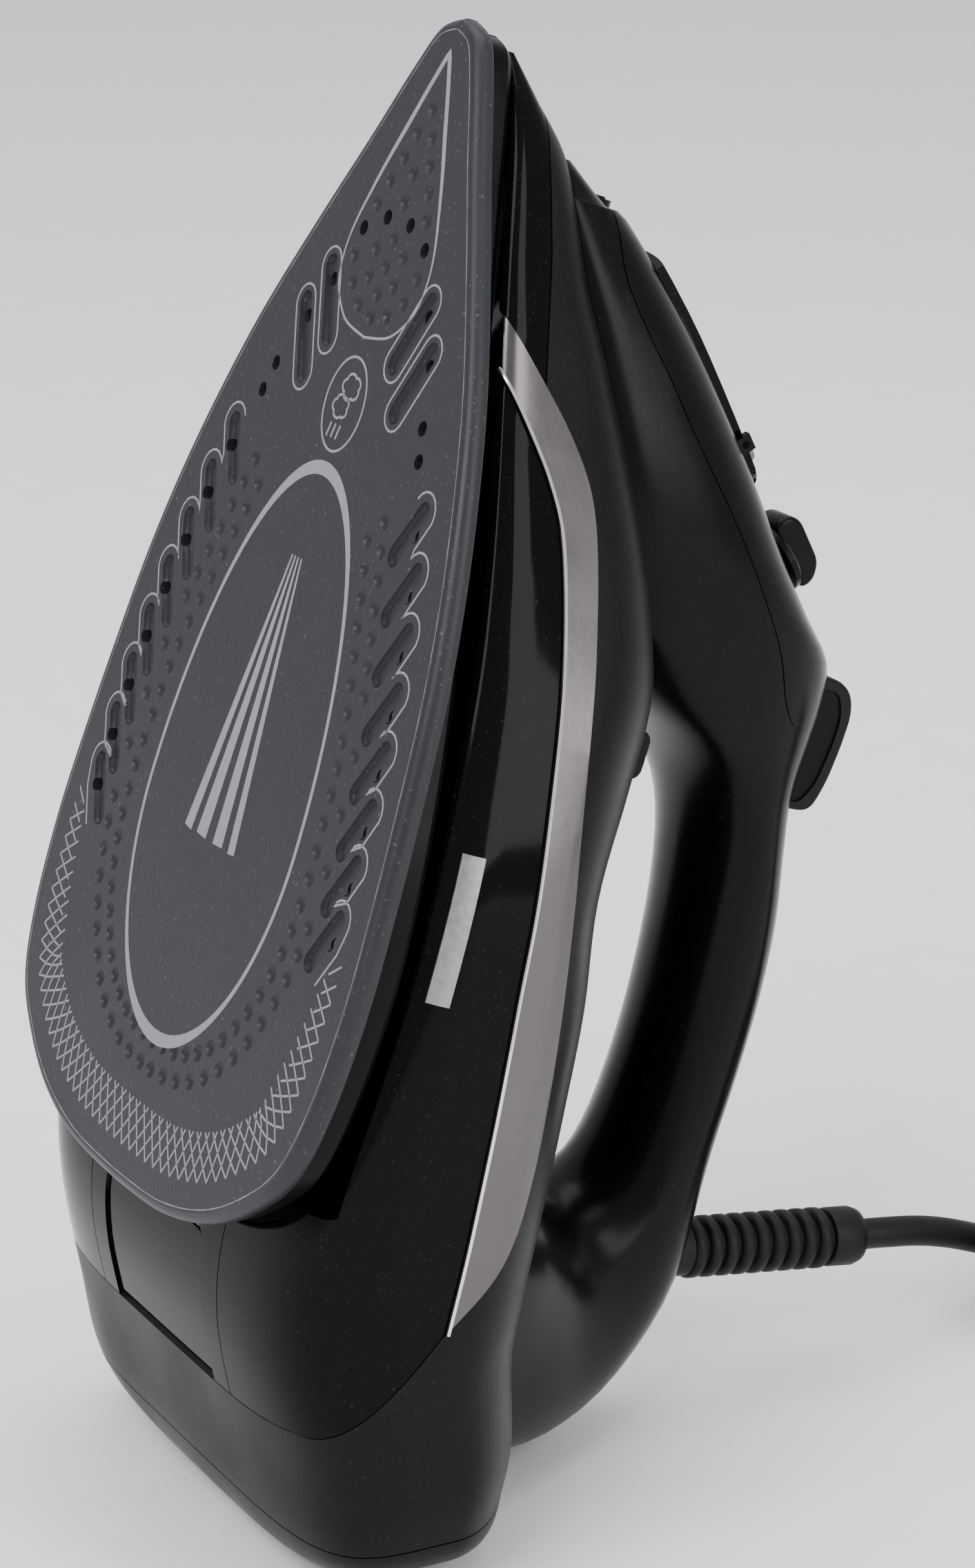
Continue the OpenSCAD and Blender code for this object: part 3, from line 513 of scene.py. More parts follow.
def outline(inset=0.0, n=10, points=SOLE_PTS):
    """A closed outline in plan, moved inwards along its own normals."""
    half = smooth([list(p) for p in points], n)
    loop = [Vector(p) for p in half] + [Vector((-p[0], p[1])) for p in reversed(half[1:-1])]
    out = []
    for i, p in enumerate(loop):
        t = (loop[(i + 1) % len(loop)] - loop[i - 1]).normalized()
        out.append((p.x - inset * t.y, p.y + inset * t.x))
    return out


def stepped(levels, shape=SOLE_PTS, n=10):
    """A solid with a plan outline: (inset, height) rings from the face upwards."""
    points, count = [], 0
    for inset, h in levels:
        ring = outline(inset, n, shape)
        count = len(ring)
        points += [(x, h, l) for x, l in ring]
    return mesh_from(points, tube_faces(len(levels), count))


def stage(level):
    """Everything lower than a level above the standing surface, in the iron's own axes."""
    return block((-FAR, -FAR, level - FAR), (FAR, FAR, level), STAND.inverted())


# ---------- soleplate ----------
def ribbon(points, width, closed=False):
    """A thin printed line on the sole face: (across, along) points and a width or widths."""
    n = len(points)
    widths = width if isinstance(width, (list, tuple)) else [width] * n
    rails = []
    for i, p in enumerate(points):
        a = points[(i - 1) % n] if closed or i else p
        b = points[(i + 1) % n] if closed or i < n - 1 else p
        t = (Vector(b) - Vector(a)).normalized()
        side = Vector((-t.y, t.x)) * widths[i] / 2
        rails.append((Vector(p) + side, Vector(p) - side))
    verts = []
    for a, b in rails:
        verts += [(a.x, -0.03, a.y), (b.x, -0.03, b.y), (b.x, 0.2, b.y), (a.x, 0.2, a.y)]
    return mesh_from(verts, tube_faces(n, 4, closed))


def capsule(a, b, r, k=10):
    """Closed outline of a stadium between two points."""
    a, b = Vector(a), Vector(b)
    base = math.atan2((b - a).y, (b - a).x)
    out = []
    for end, turn in ((b, -90), (a, 90)):
        for i in range(k + 1):
            q = base + math.radians(turn + 180 * i / k)
            out.append((end.x + r * math.cos(q), end.y + r * math.sin(q)))
    return out


GROOVES = [(51.7 - 0.315 * (6.5 - i) ** 2, 135.7 - 10.3 * i) for i in range(8)]
FRONT_SLOTS = [((19.9, 174.8), (13.5, 162.2)), ((25.4, 166.6), (18.9, 154.2))]
FRONT_HOLES = [(19.1, 172.3), (24.6, 164.2)]
FREE_HOLES = [(4.5, 186.5), (12.1, 183.2), (29.9, 153.7), (32, 148)]
TEAR_MID = [207.5, 195.4, 190, 183.2, 177.9, 172.8, 168.3]
TEAR_PAIRS = [(2.9, 202.6), (5, 197.8), (7.5, 193), (9.7, 188.2), (12.5, 178), (5.4, 180.4), (10.2, 173.1),
              (4.9, 175.2), (5.7, 169.7)]


# The printed egg: points, half width, middle, and reach towards the nose and the heel.
EGG_STEPS, EGG_HALF, EGG_MID, EGG_FORE, EGG_AFT = 96, 30.6, 72.7, 66.9, 43.9
SLOT_R, SLOT_DEPTH = 2.1, 0.9
SCALLOP_R, FINE_LINE = 3.9, 0.45
DIMPLE_STEP, DIMPLE_R, DIMPLE_DEPTH = 5.3, 1.65, 0.75
HATCH_STEP, HATCH_LEAN, HATCH_FADE = 3.5, 6.2, 34
# The line of the outer row of dimples down one side, from the nose to the heel's middle.
DIMPLE_ROW = [(26.7, 135.6), (28.6, 130.6), (30.5, 125.6), (34.2, 115.7), (38.4, 104), (41, 94), (42, 85),
              (43, 74.5), (42.6, 62), (39.6, 50), (33.8, 39), (25, 30), (13.5, 24.4), (0, 22.8)]


def dimple_places():
    """Where dimples may go: the teardrop's own, then two staggered rows down each side."""
    spots = [(0, l) for l in TEAR_MID] + [(s * w, l) for w, l in TEAR_PAIRS for s in (-1, 1)]
    column = curve(DIMPLE_ROW, 12)
    walk, last = 0.0, Vector(column[0])
    places = [last.copy()]
    for p in column[1:]:
        v = Vector(p)
        step = (v - last).length
        while walk + step >= DIMPLE_STEP:
            last = last.lerp(v, (DIMPLE_STEP - walk) / step)
            places.append(last.copy())
            step = (v - last).length
            walk = 0.0
        walk += step
        last = v
    for i, p in enumerate(places):
        a, b = places[max(i - 1, 0)], places[min(i + 1, len(places) - 1)]
        t = (b - a).normalized()
        inner = p + Vector((t.y, -t.x)) * 5.2 + t * 2.6
        for q in (p, inner):
            for s in ((-1, 1) if q.x > 1.2 else (1,)):
                spots.append((s * max(q.x, 0), q.y))
    return spots


def capsule_cut(a, b, r, depth):
    """A long hollow with sloping sides, cut from outside the face."""
    rim = capsule(a, b, r)
    mid = capsule(a, b, r - 0.5)
    points = [(x, -1.0, l) for x, l in rim] + [(x, 0.05, l) for x, l in rim]
    points += [(x, depth, l) for x, l in mid]
    return mesh_from(points, tube_faces(3, len(rim)))


def cup(x, l, r, depth):
    """A shallow round dimple, cut from outside the face."""
    profile = [(0, -0.4), (r, -0.4), (r, 0), (r * 0.9, depth * 0.3), (r * 0.68, depth * 0.68),
               (r * 0.38, depth * 0.92), (0, depth)]
    return lathe(profile, Matrix.Translation((x, 0, l)) @ UP, 24)


def bore(x, l, r):
    """A steam hole through the plate."""
    points = []
    for h in (-1, 4.6):
        for i in range(20):
            a = math.tau * i / 20
            points.append((x + r * math.cos(a), h, l + r * math.sin(a)))
    return mesh_from(points, tube_faces(2, 20))


def slot_cuts():
    """The hollows of the side grooves and nose slots."""
    cuts = []
    for s in (-1, 1):
        for x, l in GROOVES:
            cuts.append(capsule_cut((s * (x + 0.6), l + 4.4), (s * (x - 5), l - 4.8), SLOT_R, SLOT_DEPTH))
        for a, b in FRONT_SLOTS:
            cuts.append(capsule_cut((s * a[0], a[1]), (s * b[0], b[1]), SLOT_R, SLOT_DEPTH))
    return cuts


def slot_lines():
    """Printed lines round the nose slots and along the outer ends of the side grooves."""
    lines = []
    for s in (-1, 1):
        for a, b in FRONT_SLOTS:
            lines.append(ribbon(capsule((s * a[0], a[1]), (s * b[0], b[1]), 3.4), FINE_LINE, True))
        edge = []
        for i, (x, l) in enumerate(GROOVES):
            tip = Vector((x + 0.6, l + 4.4))
            for k in range(9):
                q = math.radians(150 - 165 * k / 8)
                edge.append((s * (tip.x + SCALLOP_R * math.cos(q)), tip.y + SCALLOP_R * math.sin(q)))
            if i < len(GROOVES) - 1:
                edge.append((s * (x + 1.2), l - 2.2))
        last = GROOVES[-1]
        edge += [(s * (last[0] + 3.2), last[1] - 1), (s * (last[0] - 1.0), last[1] - 8)]
        lines.append(ribbon(edge, FINE_LINE))
    return lines


def egg_ring():
    """The printed egg round the middle of the sole, thicker at its two ends."""
    loop, widths = [], []
    for i in range(EGG_STEPS):
        a = math.tau * i / EGG_STEPS
        c, s = math.cos(a), math.sin(a)
        reach = EGG_FORE if s >= 0 else EGG_AFT
        loop.append((EGG_HALF * c, EGG_MID + reach * s * (1 - 0.02 * c * c)))
        widths.append(1.0 + 1.7 * abs(s) ** 6)
    return ribbon(loop, widths, True)


def print_lines():
    """The sole's printed marks: slot outlines, egg, teardrop, steam sign and rays."""
    lines = slot_lines()
    lines.append(egg_ring())
    tear = [(0, 218.3), (3.7, 211), (6.9, 204.2), (10.4, 197), (13.4, 190), (15.8, 183.5), (16.6, 178),
            (15.6, 172.8), (12.6, 169), (8, 166), (0, 164.6)]
    half = curve(tear, 5)
    loop = half + [(-w, l) for w, l in reversed(half[1:-1])]
    lines.append(ribbon(loop, [0.5 + 0.75 * min(max((l - 180) / 22, 0), 1) for w, l in loop], True))
    lines.append(ribbon([(7.3 * math.cos(math.tau * i / 48), 151.9 + 8.9 * math.sin(math.tau * i / 48))
                         for i in range(48)], 0.5, True))
    for cx, cy, k in ((0.9, 155.2, 1.0), (-1.0, 151.2, 0.9)):
        puff = []
        for i in range(60):
            a = math.tau * i / 60
            r = 2.35 * k * (1 + 0.26 * abs(math.sin(2.5 * a)) ** 0.6)
            puff.append((cx + 1.15 * r * math.cos(a), cy + 0.85 * r * math.sin(a)))
        lines.append(ribbon(puff, 0.5, True))
    for x in (-2.6, -0.8, 1.0):
        lines.append(ribbon([(x, 148), (x - 0.6, 145.3)], 0.55))
    for top, foot in ((-2.2, (-12.2, -9.2)), (-1.0, (-6.9, -2.9)), (0.2, (0.2, 4.1)), (1.5, (6.7, 9.3))):
        a = Vector((top, 122.6))
        b = Vector(((foot[0] + foot[1]) / 2, 67))
        lines.append(ribbon([tuple(a.lerp(b, i / 8)) for i in range(9)],
                            [0.5 + (foot[1] - foot[0] - 0.5) * i / 8 for i in range(9)]))
    return lines


def hatch_lines():
    """Crossed diagonals in a band along the heel's outline."""
    rim, inner = outline(7.2), outline(16.4)
    n = len(rim)
    arc = [0.0]
    for i in range(n):
        arc.append(arc[-1] + (Vector(rim[(i + 1) % n]) - Vector(rim[i])).length)

    def at(loop, s):
        s %= arc[-1]
        i = next(k for k in range(n) if arc[k + 1] >= s)
        f = (s - arc[i]) / max(arc[i + 1] - arc[i], 1e-6)
        return Vector(loop[i]).lerp(Vector(loop[(i + 1) % n]), f)

    reach = next(arc[i] for i in range(n) if rim[i][1] > 62)
    count = int(reach / HATCH_STEP)
    lines = []
    for k in range(-count, count + 1):
        for lean_by in (-HATCH_LEAN, HATCH_LEAN):
            s0, s1 = k * HATCH_STEP, k * HATCH_STEP + lean_by
            if max(abs(s0), abs(s1)) > reach:
                continue
            fade = max(0.0, (abs(s0) - reach + HATCH_FADE) / HATCH_FADE)
            stop = 1 - 0.62 * fade
            pts = [at(rim, s0 + (s1 - s0) * t).lerp(at(inner, s0 + (s1 - s0) * t), t)
                   for t in (0, 0.34 * stop, 0.67 * stop, stop)]
            lines.append(ribbon([tuple(p) for p in pts], 0.42))
    return lines


def build_sole():
    cuts = slot_cuts()
    plate = stepped([(1.7, 0), (1.15, 0.12), (0.6, 0.5), (0.2, 1.1), (0, 1.9), (0, 3.4), (0.5, 4)])
    taken = [(s * w, z, 3.1) for w, z in FREE_HOLES for s in (-1, 1)]
    taken += [(s * (x - 5), l - 4.8, 4.0) for x, l in GROOVES for s in (-1, 1)]
    taken += [(s * (x - 2.2), l - 0.2, 4.0) for x, l in GROOVES for s in (-1, 1)]
    dimples, kept = [], []
    for x, l in dimple_places():
        near = taken + [(u, v, 3.7) for u, v in kept]
        if all(math.hypot(x - u, l - v) >= gap for u, v, gap in near):
            kept.append((x, l))
            dimples.append(cup(x, l, DIMPLE_R, DIMPLE_DEPTH))
    holes = [bore(s * x, l, 1.3) for x, l in GROOVES for s in (-1, 1)]
    holes += [bore(s * x, l, 1.45) for x, l in FREE_HOLES for s in (-1, 1)]
    holes += [bore(s * x, l, 1.35) for x, l in FRONT_HOLES for s in (-1, 1)]
    body = combine(plate, ("DIFFERENCE", joined(*cuts[:20])), ("DIFFERENCE", joined(*cuts[20:])),
                   ("DIFFERENCE", joined(*dimples)), ("DIFFERENCE", joined(*holes)))
    piece("sole_plate", body, "sole", "body", ("soleplate",), angle=40,
          flat_axis=Vector((0, -C, S)))
    # A pale line of uneven width just inside the sole's rim.
    rim = outline(2.3)
    rim_line_widths = [0.16 + 0.16 * abs(math.sin(0.9 * i) * math.sin(0.37 * i)) for i in range(len(rim))]
    piece("sole_pale_rim_line", ribbon(rim, rim_line_widths, True), "edge", "body")
    lines = print_lines() + hatch_lines()
    piece("sole_marks", joined(*lines), "print", "body")


build_sole()


# ---------- shells ----------
def skirt():
    body = stepped([(2.2, 4.1), (1.7, 4.6), (1.6, 5.4), (1.6, 8.2), (2.4, 9.4)], SKIRT_PTS)
    piece("skirt_ring", body, "skirt", "body", ("skirt",))


def across(zone):
    return prism(zone, -FAR, FAR)


def rear_zone(g):
    """The heel cover's block, with a gap round it."""
    return block((-29 - g, -60, -80), (29 + g, 80, 8 + g))


def rounded(cx, cy, wide, tall, r, k=6):
    """Closed outline of a rectangle with round corners."""
    out = []
    for i, (sx, sy) in enumerate(((1, 1), (-1, 1), (-1, -1), (1, -1))):
        for j in range(k + 1):
            q = math.radians(90 * i + 90 * j / k)
            out.append((cx + sx * (wide / 2 - r) + r * math.cos(q),
                        cy + sy * (tall / 2 - r) + r * math.sin(q)))
    return out


def label_zone(g):
    """The recess on the heel cover: a rounded rectangle pushed through its face."""
    bm = plan(rounded(0, -3, 44 + 2 * g, 24 + 2 * g, 4), -FAR / 2, FAR / 2)
    bm.transform(Matrix.Translation((0, 10, -14)) @ Matrix.Rotation(math.radians(-50), 4, "X"))
    return bm


# The middle of each level window.
WINDOW_X, WINDOW_L = 30, 118


def window_zones(g):
    """The two upright slots of the level windows."""
    parts = []
    for s in (-1, 1):
        bm = plan(rounded(0, 0, 8 + 2 * g, 44 + 2 * g, 3.5), 40, 90)
        lean = Matrix.Rotation(math.radians(-s * 12), 4, "Y")
        bm.transform(Matrix.Translation((s * WINDOW_X, 0, WINDOW_L)) @ lean)
        parts.append(bm)
    return joined(*parts)


def foot_zone(g):
    """The heel foot's block, lifted towards the back."""
    tilt = Matrix.Translation((0, -24 - g, 0)) @ Matrix.Rotation(math.radians(6), 4, "X")
    return block((-FAR, 0, -30), (FAR, 120, 5 + g), STAND.inverted() @ tilt)


def lower_shells():
    piece("tank_body", combine(
        lower(), ("INTERSECT", across(below_trim(-SEAM / 2))),
        ("DIFFERENCE", across(trim_zone(SEAM / 2))), ("DIFFERENCE", lower_core()),
        ("DIFFERENCE", rear_zone(0))), "gloss", "body", ("tank_shell",))
    for name, s in (("trim_left", 1), ("trim_right", -1)):
        zone = prism(trim_zone(-SEAM / 2), 2 if s > 0 else -FAR, FAR if s > 0 else -2)
        strip = combine(lower(0.5), ("INTERSECT", zone), ("DIFFERENCE", lower_core(-1.0)))
        piece("strip_" + name[5:], strip, "strip", "body", (name,))
    mid = combine(
        lower(), ("INTERSECT", across(above_trim(SEAM / 2))),
        ("DIFFERENCE", across(trim_zone(SEAM / 2))), ("DIFFERENCE", lower_core()),
        ("DIFFERENCE", stage(14 + SEAM / 2)), ("DIFFERENCE", window_zones(0)),
        ("DIFFERENCE", rod(17.4, 55, 90, UP @ Matrix.Translation((0, -66, 0)))),
        ("DIFFERENCE", block((24.5 - 3.4, 40, 104.5 - 5.2), (24.5 + 3.4, 90, 104.5 + 5.2))))
    piece("mid_body", mid, "charcoal", "body", ("mid_shell",))
    panes = combine(lower(-0.1), ("INTERSECT", window_zones(-SEAM / 2)), ("DIFFERENCE", lower_core()))
    piece("windows", panes,
          "smoke", "body", ("tank_window",))
    cover = combine(
        lower(), ("INTERSECT", across(below_trim(-SEAM / 2))), ("INTERSECT", rear_zone(-SEAM)),
        ("DIFFERENCE", combine(label_zone(0), ("DIFFERENCE", lower(-1.2)))), ("DIFFERENCE", lower_core()))
    piece("heel_cover", cover, "gloss", "body", ("rear_cover",))
    panel = combine(lower(-0.6), ("INTERSECT", label_zone(-SEAM)), ("INTERSECT", rear_zone(-2)),
                    ("INTERSECT", across(below_trim(-2))), ("DIFFERENCE", lower(-1.15)))
    piece("heel_panel", panel, "gloss", "body", ("label_panel",))
    base = combine(lower(), ("INTERSECT", stage(14 - SEAM / 2)), ("DIFFERENCE", foot_zone(SEAM)))
    piece("heel_base", base, "charcoal", "body", ("rear_base",))
    foot = combine(lower(), ("INTERSECT", foot_zone(0)), ("INTERSECT", stage(13)))
    piece("heel_pad", foot, "foot", "body", ("heel_foot",))


def slope(along):
    a = math.radians(45.5)
    return (Matrix.Translation((0, 43 + along * math.sin(a), 198 - along * math.cos(a)))
            @ Matrix.Rotation(a, 4, "X"))


# Along the slope: the steam lever's hole, the filler opening, and the lid's hinge and its rise.
LEVER_AT, FILLER_AT, LID_AXIS, LID_RISE = 79, 30, 47.75, 0.4
SIDEWAYS = Matrix.Rotation(math.radians(90), 4, "Y")
HINGE = slope(LID_AXIS) @ Matrix.Translation((0, LID_RISE, 0)) @ SIDEWAYS
# The cord swivel's ball: its middle in the row's frame, and the way it points.
SWIVEL_AT, SWIVEL_TURN = Matrix.Translation((0, 62, 33.5)), Matrix.Rotation(math.radians(-98), 4, "X")


def cover_zone(dh):
    return flip(COVER, dh) + [(FAR, 115), (FAR, 210)]


def well():
    return block((-11.2, 101, 97.6), (11.2, 141, 125.4))


def patch(start, length, width, g0, g1, ends):
    """A rounded slab on the cover's slope between two skins."""
    half, tip = length / 2, width / 4
    shape = []
    for e in (1, -1):
        if e in ends:
            r = width * 0.56
            lim = math.asin(width / 2 / r)
            for i in range(15):
                q = e * math.radians(90) + lim * (1 - 2 * i / 14)
                shape.append((r * math.cos(q), e * (half - tip) + r * math.sin(q)))
        else:
            shape += [(-e * width / 2, e * half), (e * width / 2, e * half)]
    points = [(x, h, l - half) for h in (-14, 26) for x, l in shape]
    slab = mesh_from(points, tube_faces(2, len(shape)))
    slab.transform(slope(start))
    return combine(upper(g1), ("INTERSECT", slab), ("DIFFERENCE", upper(g0)))


def upper_shells():
    outlet = STAND.inverted() @ SWIVEL_AT @ SWIVEL_TURN
    handle = combine(
        upper(), ("DIFFERENCE", across(cover_zone(-SEAM / 2))), ("DIFFERENCE", upper_core()),
        ("DIFFERENCE", lower(0.1)), ("DIFFERENCE", well()), ("DIFFERENCE", rod(10.6, -7.2, 32, outlet)))
    piece("handle_shell", handle, "handle", "body", ("handle_body",))
    cover = combine(
        upper(), ("INTERSECT", across(cover_zone(SEAM / 2))), ("DIFFERENCE", upper_core()),
        ("DIFFERENCE", lower(0.1)), ("DIFFERENCE", well()),
        ("DIFFERENCE", rod(4.2, -30, 30, slope(LEVER_AT) @ UP)),
        ("DIFFERENCE", rod(7, -30, 30, slope(FILLER_AT) @ UP)),
        ("DIFFERENCE", rod(1.95, -12.8, 12.8, HINGE)))
    ears = joined(*[block((s * 13.65 - 0.75, -5, -1.7), (s * 13.65 + 0.75, 1.6, 1.7),
                          slope(LID_AXIS) @ Matrix.Translation((0, LID_RISE, 0))) for s in (-1, 1)])
    piece("cover_shell", joined(cover, ears), "handle", "body", ("top_cover",))
    lid = combine(patch(8, 46, 25, 0.3, 2.4, (-1,)), ("DIFFERENCE", rod(1.6, -20, 20, HINGE)))
    piece("lid_plate", lid, "gloss", "filler_lid", ("filler_lid",))
    plate = combine(patch(66, 26, 20, 0.2, 0.9, (1, -1)),
                    ("DIFFERENCE", rod(4.2, -30, 30, slope(LEVER_AT) @ UP)))
    piece("selector_plate", plate, "clear", "body", ("lever_plate",))


skirt()
lower_shells()
upper_shells()


# ---------- controls ----------
def extrude_rounded(shape, x0, x1, r, steps=4):
    """A side-view shape (height, along) across x with its side edges rounded by r."""
    cx = sum(h for h, l in shape) / len(shape)
    cy = sum(l for h, l in shape) / len(shape)
    turns = [math.radians(90 * i / steps) for i in range(steps + 1)]
    left = [(x0 + r * (1 - math.cos(q)), r * (1 - math.sin(q))) for q in turns]
    levels = left + [(x0 + x1 - x, g) for x, g in reversed(left)]
    points = []
    for x, g in levels:
        for h, l in shape:
            d = Vector((h - cx, l - cy))
            k = max(0.0, 1 - g / max(d.length, 0.1))
            points.append((x, cx + d.x * k, cy + d.y * k))
    return mesh_from(points, tube_faces(len(levels), len(shape)))


def corner_cut(shape, r, k=4):
    """Rounds the corners of a closed 2-D shape."""
    out, n = [], len(shape)
    for i, p in enumerate(shape):
        p = Vector(p)
        a, b = Vector(shape[i - 1]), Vector(shape[(i + 1) % n])
        ra = min(r, (a - p).length * 0.45)
        rb = min(r, (b - p).length * 0.45)
        s, e = p + (a - p).normalized() * ra, p + (b - p).normalized() * rb
        for j in range(k + 1):
            t = j / k
            out.append(tuple((1 - t) ** 2 * s + 2 * t * (1 - t) * p + t * t * e))
    return out


BUTTON = [(106, 98), (118.5, 98), (120.6, 99.2), (122.2, 105), (123, 112), (123, 119), (121.4, 123),
          (118, 125), (106, 125)]


def buttons():
    side = [(106.5, 99.5), (117, 99.5), (119.5, 104), (120.6, 112), (120.6, 118),
            (118.5, 122.6), (106.5, 123)]
    for name, x0, s in (("spray_button", 0.3, 1), ("steam_button", -10.8, -1)):
        body = extrude_rounded(corner_cut(BUTTON, 2.4), x0, x0 + 10.5, 0.8)
        flank_x = x0 + 10.5 if s > 0 else x0
        dent = prism(corner_cut(side, 2), flank_x - 0.45, flank_x + 0.45)
        body = combine(body, ("DIFFERENCE", dent))
        for f in body.faces:
            c = f.calc_center_median()
            f.material_index = 1 if abs(f.normal.x) > 0.9 and abs(c.x - (flank_x - s * 0.45)) < 0.02 else 0
        piece(name + "_cap", body, ["button", "flank"], name, (name,), angle=35)


def self_clean():
    shape = [(55, 99.7), (67, 99.7), (68.4, 101.1), (68.4, 107.9), (67, 109.3), (55, 109.3)]
    body = extrude_rounded(corner_cut(shape, 1.2), 21.5, 27.5, 0.6)
    cuts = [block((21, 68.15, z - 0.35), (28, 69, z + 0.35)) for z in (102.3, 104.5, 106.7)]
    body = combine(body, ("DIFFERENCE", joined(*cuts)))
    piece("self_clean_cap", body, "charcoal", "self_clean_button", ("self_clean_button",))


def selector():
    frame_at = slope(LEVER_AT)
    stem = rod(3.9, -6, 2.5, frame_at @ UP)
    disc = lathe([(0, 1.6), (7.0, 1.6), (7.6, 2.0), (7.6, 3.1), (7.0, 3.7), (0, 3.8)], frame_at @ UP)
    shape = corner_cut([(3.4, -7.6), (3.4, 7.6), (7, 7.6), (9.2, 5.4), (9.2, -4.6), (6.6, -7.6)], 1.8)
    tab = extrude_rounded(shape, -4, 4, 1.0)
    tab.transform(frame_at)
    piece("selector_knob", joined(stem, disc, tab), "handle", "steam_selector",
          ("steam_lever",), angle=38)
    ticks = []
    for a in (-40, -20, 0, 20, 40):
        bar = block((-0.35, 0, 8.6), (0.35, 0.25, 10.4))
        bar.transform(frame_at @ Matrix.Translation((0, 0.9, 0)) @ Matrix.Rotation(math.radians(a), 4, "Y"))
        ticks.append(bar)
    piece("selector_ticks", joined(*ticks), "mark", "body")


def dial():
    rim = []
    for i in range(120):
        a = math.tau * i / 120
        rim.append(16.6 + 0.35 * math.cos(12 * a))
    points = []
    for k, h in ((0.985, 65), (1, 65.6), (1, 70.0), (0.975, 70.7), (0.93, 71)):
        points += [(rim[i] * k * math.sin(math.tau * i / 120), h, 66 + rim[i] * k * math.cos(math.tau * i / 120))
                   for i in range(120)]
    body = mesh_from(points, tube_faces(5, 120))
    pointer = plan(rounded(0, 78, 1.2, 6, 0.6), 70.8, 71.12)
    piece("dial_knob", body, "charcoal", "temperature_control", ("temperature_dial",), angle=35)
    piece("dial_pointer", pointer, "mark", "temperature_control")


def guard():
    """The ribbed strain relief: flexible rings on a sleeve, then a plain collar."""
    place = SWIVEL_AT @ SWIVEL_TURN \
        @ Matrix.Translation((0, 0, 11))
    profile = [(3.25, 0.02), (5.9, 0.02), (6.3, 0.5)]
    pitch = 34 / 9
    for i in range(9):
        z = pitch * i
        profile += [(6.3, z + 0.5), (6.3, z + pitch * 0.52),
                    (6.0, z + pitch * 0.62), (5.2, z + pitch * 0.68),
                    (5.1, z + pitch * 0.92), (5.9, z + pitch * 0.98)]
    profile += [(6.1, 34.6), (6.15, 39.8), (5.6, 41.4), (4.4, 42), (3.25, 42), (3.25, 0.02)]
    body = lathe_open(profile, place)
    piece("cord_sleeve", body, "cord", "cord_swivel", ("cord_guard",), ROW, 50)


def lathe_open(profile, matrix, m=56):
    """A closed profile that doesn't touch the axis, turned about Z."""
    points = [(r * math.cos(math.tau * i / m), r * math.sin(math.tau * i / m), h)
              for r, h in profile for i in range(m)]
    bm = mesh_from(points, tube_faces(len(profile), m, True))
    bmesh.ops.remove_doubles(bm, verts=bm.verts, dist=1e-5)
    bmesh.ops.recalc_face_normals(bm, faces=bm.faces)
    bm.transform(matrix)
    return bm


def on_side(l, h, g=0.0):
    """A point on the body's +X side at a distance from the heel and a height above the sole face."""
    rows = smooth([list(r) for r in LOWER], 6)
    row = min((r for r in rows if abs(r[2]) < 0.5), key=lambda r: abs(r[0] - l))
    i = rows.index(row)
    j = min(i + 1, len(rows) - 1) if row[0] <= l else max(i - 1, 0)
    other = rows[j]
    f = 0 if other[0] == row[0] else (l - row[0]) / (other[0] - row[0])
    mix = [a + (b - a) * f for a, b in zip(row, other)]
    v = h - mix[1]
    if v >= mix[4]:
        k = max(0.0, 1 - ((v - mix[4]) / (mix[5] + g - mix[4])) ** mix[6]) ** (1 / mix[6])
    else:
        k = max(0.0, 1 - ((mix[4] - v) / (mix[4] + g)) ** mix[7]) ** (1 / mix[7])
    return Vector(((mix[3] + g) * k, h, l))


def surface_strip(l0, l1, h0, h1, g0, g1, n=14, m=5, s=1):
    """A thin plate that follows the body's side."""
    points = []
    for g in (g0, g1):
        for i in range(n + 1):
            for j in range(m + 1):
                p = on_side(l0 + (l1 - l0) * i / n, h0 + (h1 - h0) * j / m, g)
                points.append((s * p.x, p.y, p.z))
    q = (n + 1) * (m + 1)
    faces = []
    for i in range(n):
        for j in range(m):
            a = i * (m + 1) + j
            b, c, d = a + 1, a + m + 2, a + m + 1
            faces += [(a, b, c, d), (a + q, d + q, c + q, b + q)]
    rim = [j for j in range(m + 1)] + [i * (m + 1) + m for i in range(1, n + 1)] + \
          [n * (m + 1) + j for j in range(m - 1, -1, -1)] + [i * (m + 1) for i in range(n - 1, 0, -1)]
    for k in range(len(rim)):
        a, b = rim[k], rim[(k + 1) % len(rim)]
        faces.append((a, a + q, b + q, b))
    return mesh_from(points, faces)


def edge_lines():
    """The polished edge along the lower side of each side strip."""
    path = [p for p in curve(TRIM_LOW, 5) if p[1] > 10]
    for s, name in ((1, "left"), (-1, "right")):
        line = []
        for l, h in path:
            p = on_side(l, h + 0.5, 0.45)
            line.append(Vector((s * p.x, p.y, p.z)))
        piece("strip_edge_" + name, swept(line, 0.42, 8), "bright", "body")


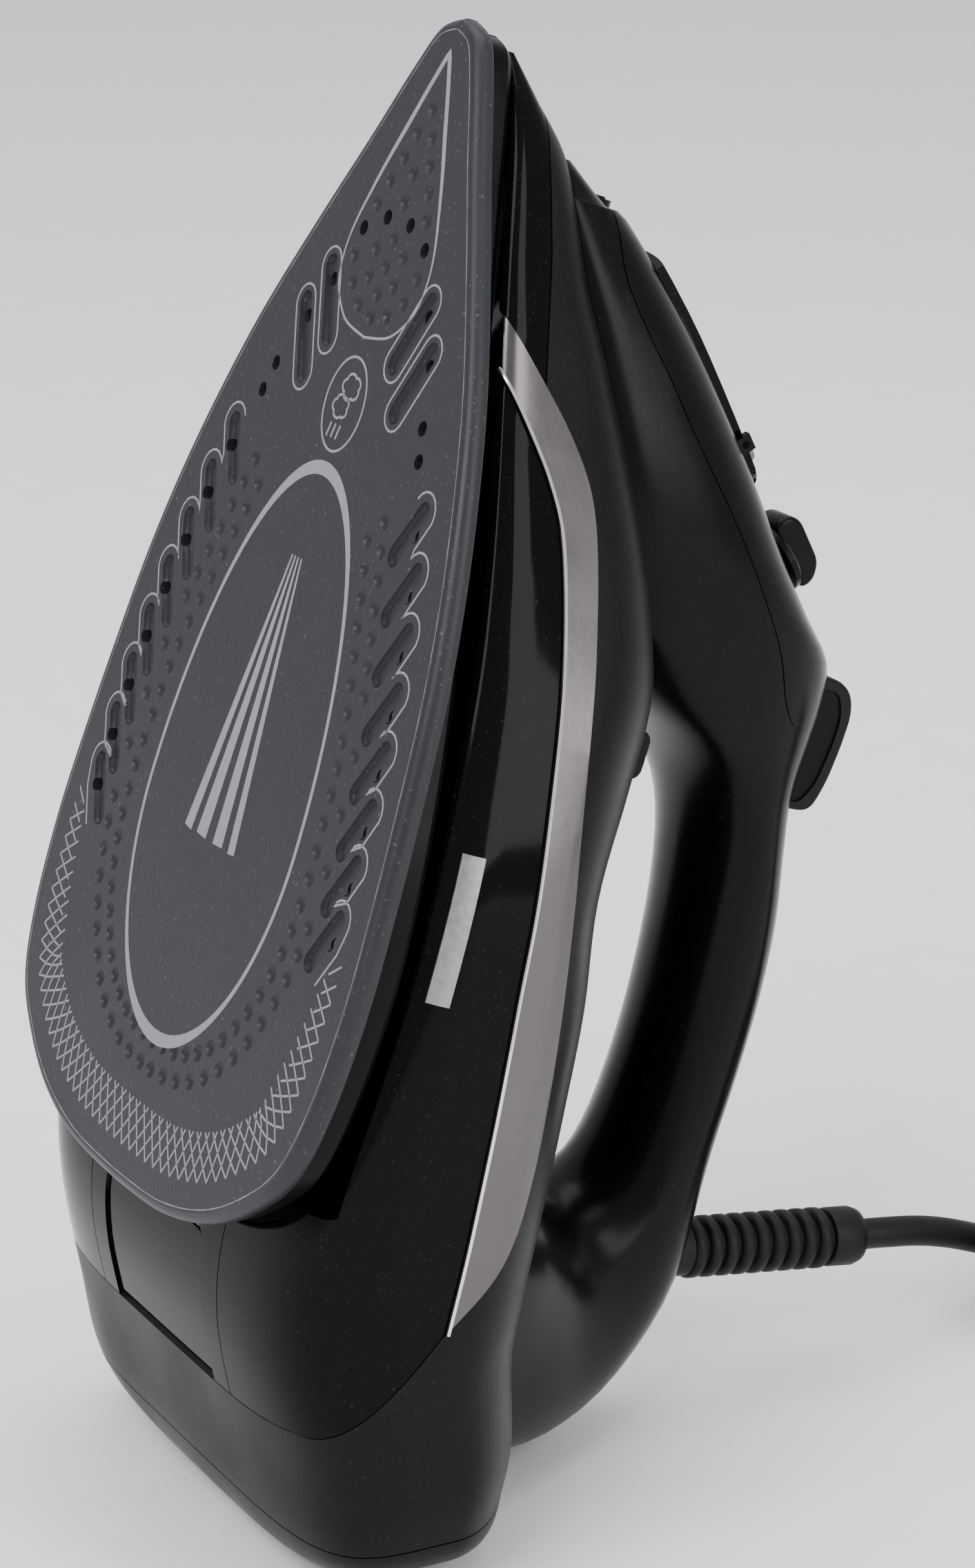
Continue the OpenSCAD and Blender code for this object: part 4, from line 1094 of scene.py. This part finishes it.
def grips():
    """Raised pale ridges on the cover's slope and the lid's thumb lip."""
    bars = []
    for along, half in ((57.6, 8.6), (60.4, 8.8), (63.2, 8.6), (93.6, 7.6), (96.2, 7.0), (98.8, 6.2)):
        place = slope(along) @ Matrix.Translation((0, -0.1, 0)) @ SIDEWAYS
        bars.append(lathe([(0, -half), (0.7, -half), (1.05, -half + 0.6),
                           (1.05, half - 0.6), (0.7, half), (0, half)],
                          place, 20))
    piece("slope_ridges", joined(*bars), "pale", "body")
    place = slope(52.4) @ Matrix.Translation((0, 1.9, 0)) @ SIDEWAYS
    lip = lathe([(0, -10.4), (1.0, -10.4), (1.5, -9.4), (1.65, 0),
                 (1.5, 9.4), (1.0, 10.4), (0, 10.4)], place, 28)
    piece("lid_lip", lip, "pale", "filler_lid")


# A pale silver strip on the gloss black side: a painted highlight where light reflects off the shell.
def paint_side_highlight():
    piece("painted_side_highlight", surface_strip(59, 86, 15.4, 19.8, -0.2, 0.22), "badge", "body")


buttons()
self_clean()
selector()
dial()
guard()
edge_lines()
grips()
paint_side_highlight()

# ---------- floor and lights ----------
floor_mesh = bpy.data.meshes.new("floor")
floor_mesh.from_pydata([(-6, -6, 0), (6, -6, 0), (6, 6, 0), (-6, 6, 0)], [], [(0, 1, 2, 3)])
floor = bpy.data.objects.new("floor", floor_mesh)
bpy.context.scene.collection.objects.link(floor)
floor_mesh.materials.append(material("floor_pale", (0.93, 0.93, 0.935), 0.6, mottle=0.01, bump=0.0))


def lamp(name, place, aim, size, power_w, color=(1, 1, 1)):
    data = bpy.data.lights.new(name, "AREA")
    data.shape = "RECTANGLE"
    data.size, data.size_y = size
    data.energy = power_w
    data.color = color
    o = bpy.data.objects.new(name, data)
    bpy.context.scene.collection.objects.link(o)
    o.location = place
    o.rotation_mode = "QUATERNION"
    o.rotation_quaternion = (Vector(aim) - Vector(place)).to_track_quat("-Z", "Y")


lamp("key", (0.55, -1.1, 1.25), (0, 0, 0.14), (1.1, 0.9), 26)
lamp("side", (1.3, 0.75, 0.75), (0, 0, 0.14), (0.5, 1.3), 12)
lamp("top", (-0.2, 0.2, 1.7), (0, 0, 0.1), (1.4, 1.4), 18)
world = bpy.data.worlds.new("world")
bpy.context.scene.world = world
world.use_nodes = True
world.node_tree.nodes["Background"].inputs["Color"].default_value = (0.9, 0.92, 0.95, 1)
world.node_tree.nodes["Background"].inputs["Strength"].default_value = 0.9

for node_name, o in frame["nodes"].items():
    slot_name = next(p["material_slot"] for p in frame["record"]["subparts"] if p["node"] == node_name)
    o.data.materials.clear()
    o.data.materials.append(MAT[SLOT_LOOK[slot_name]])
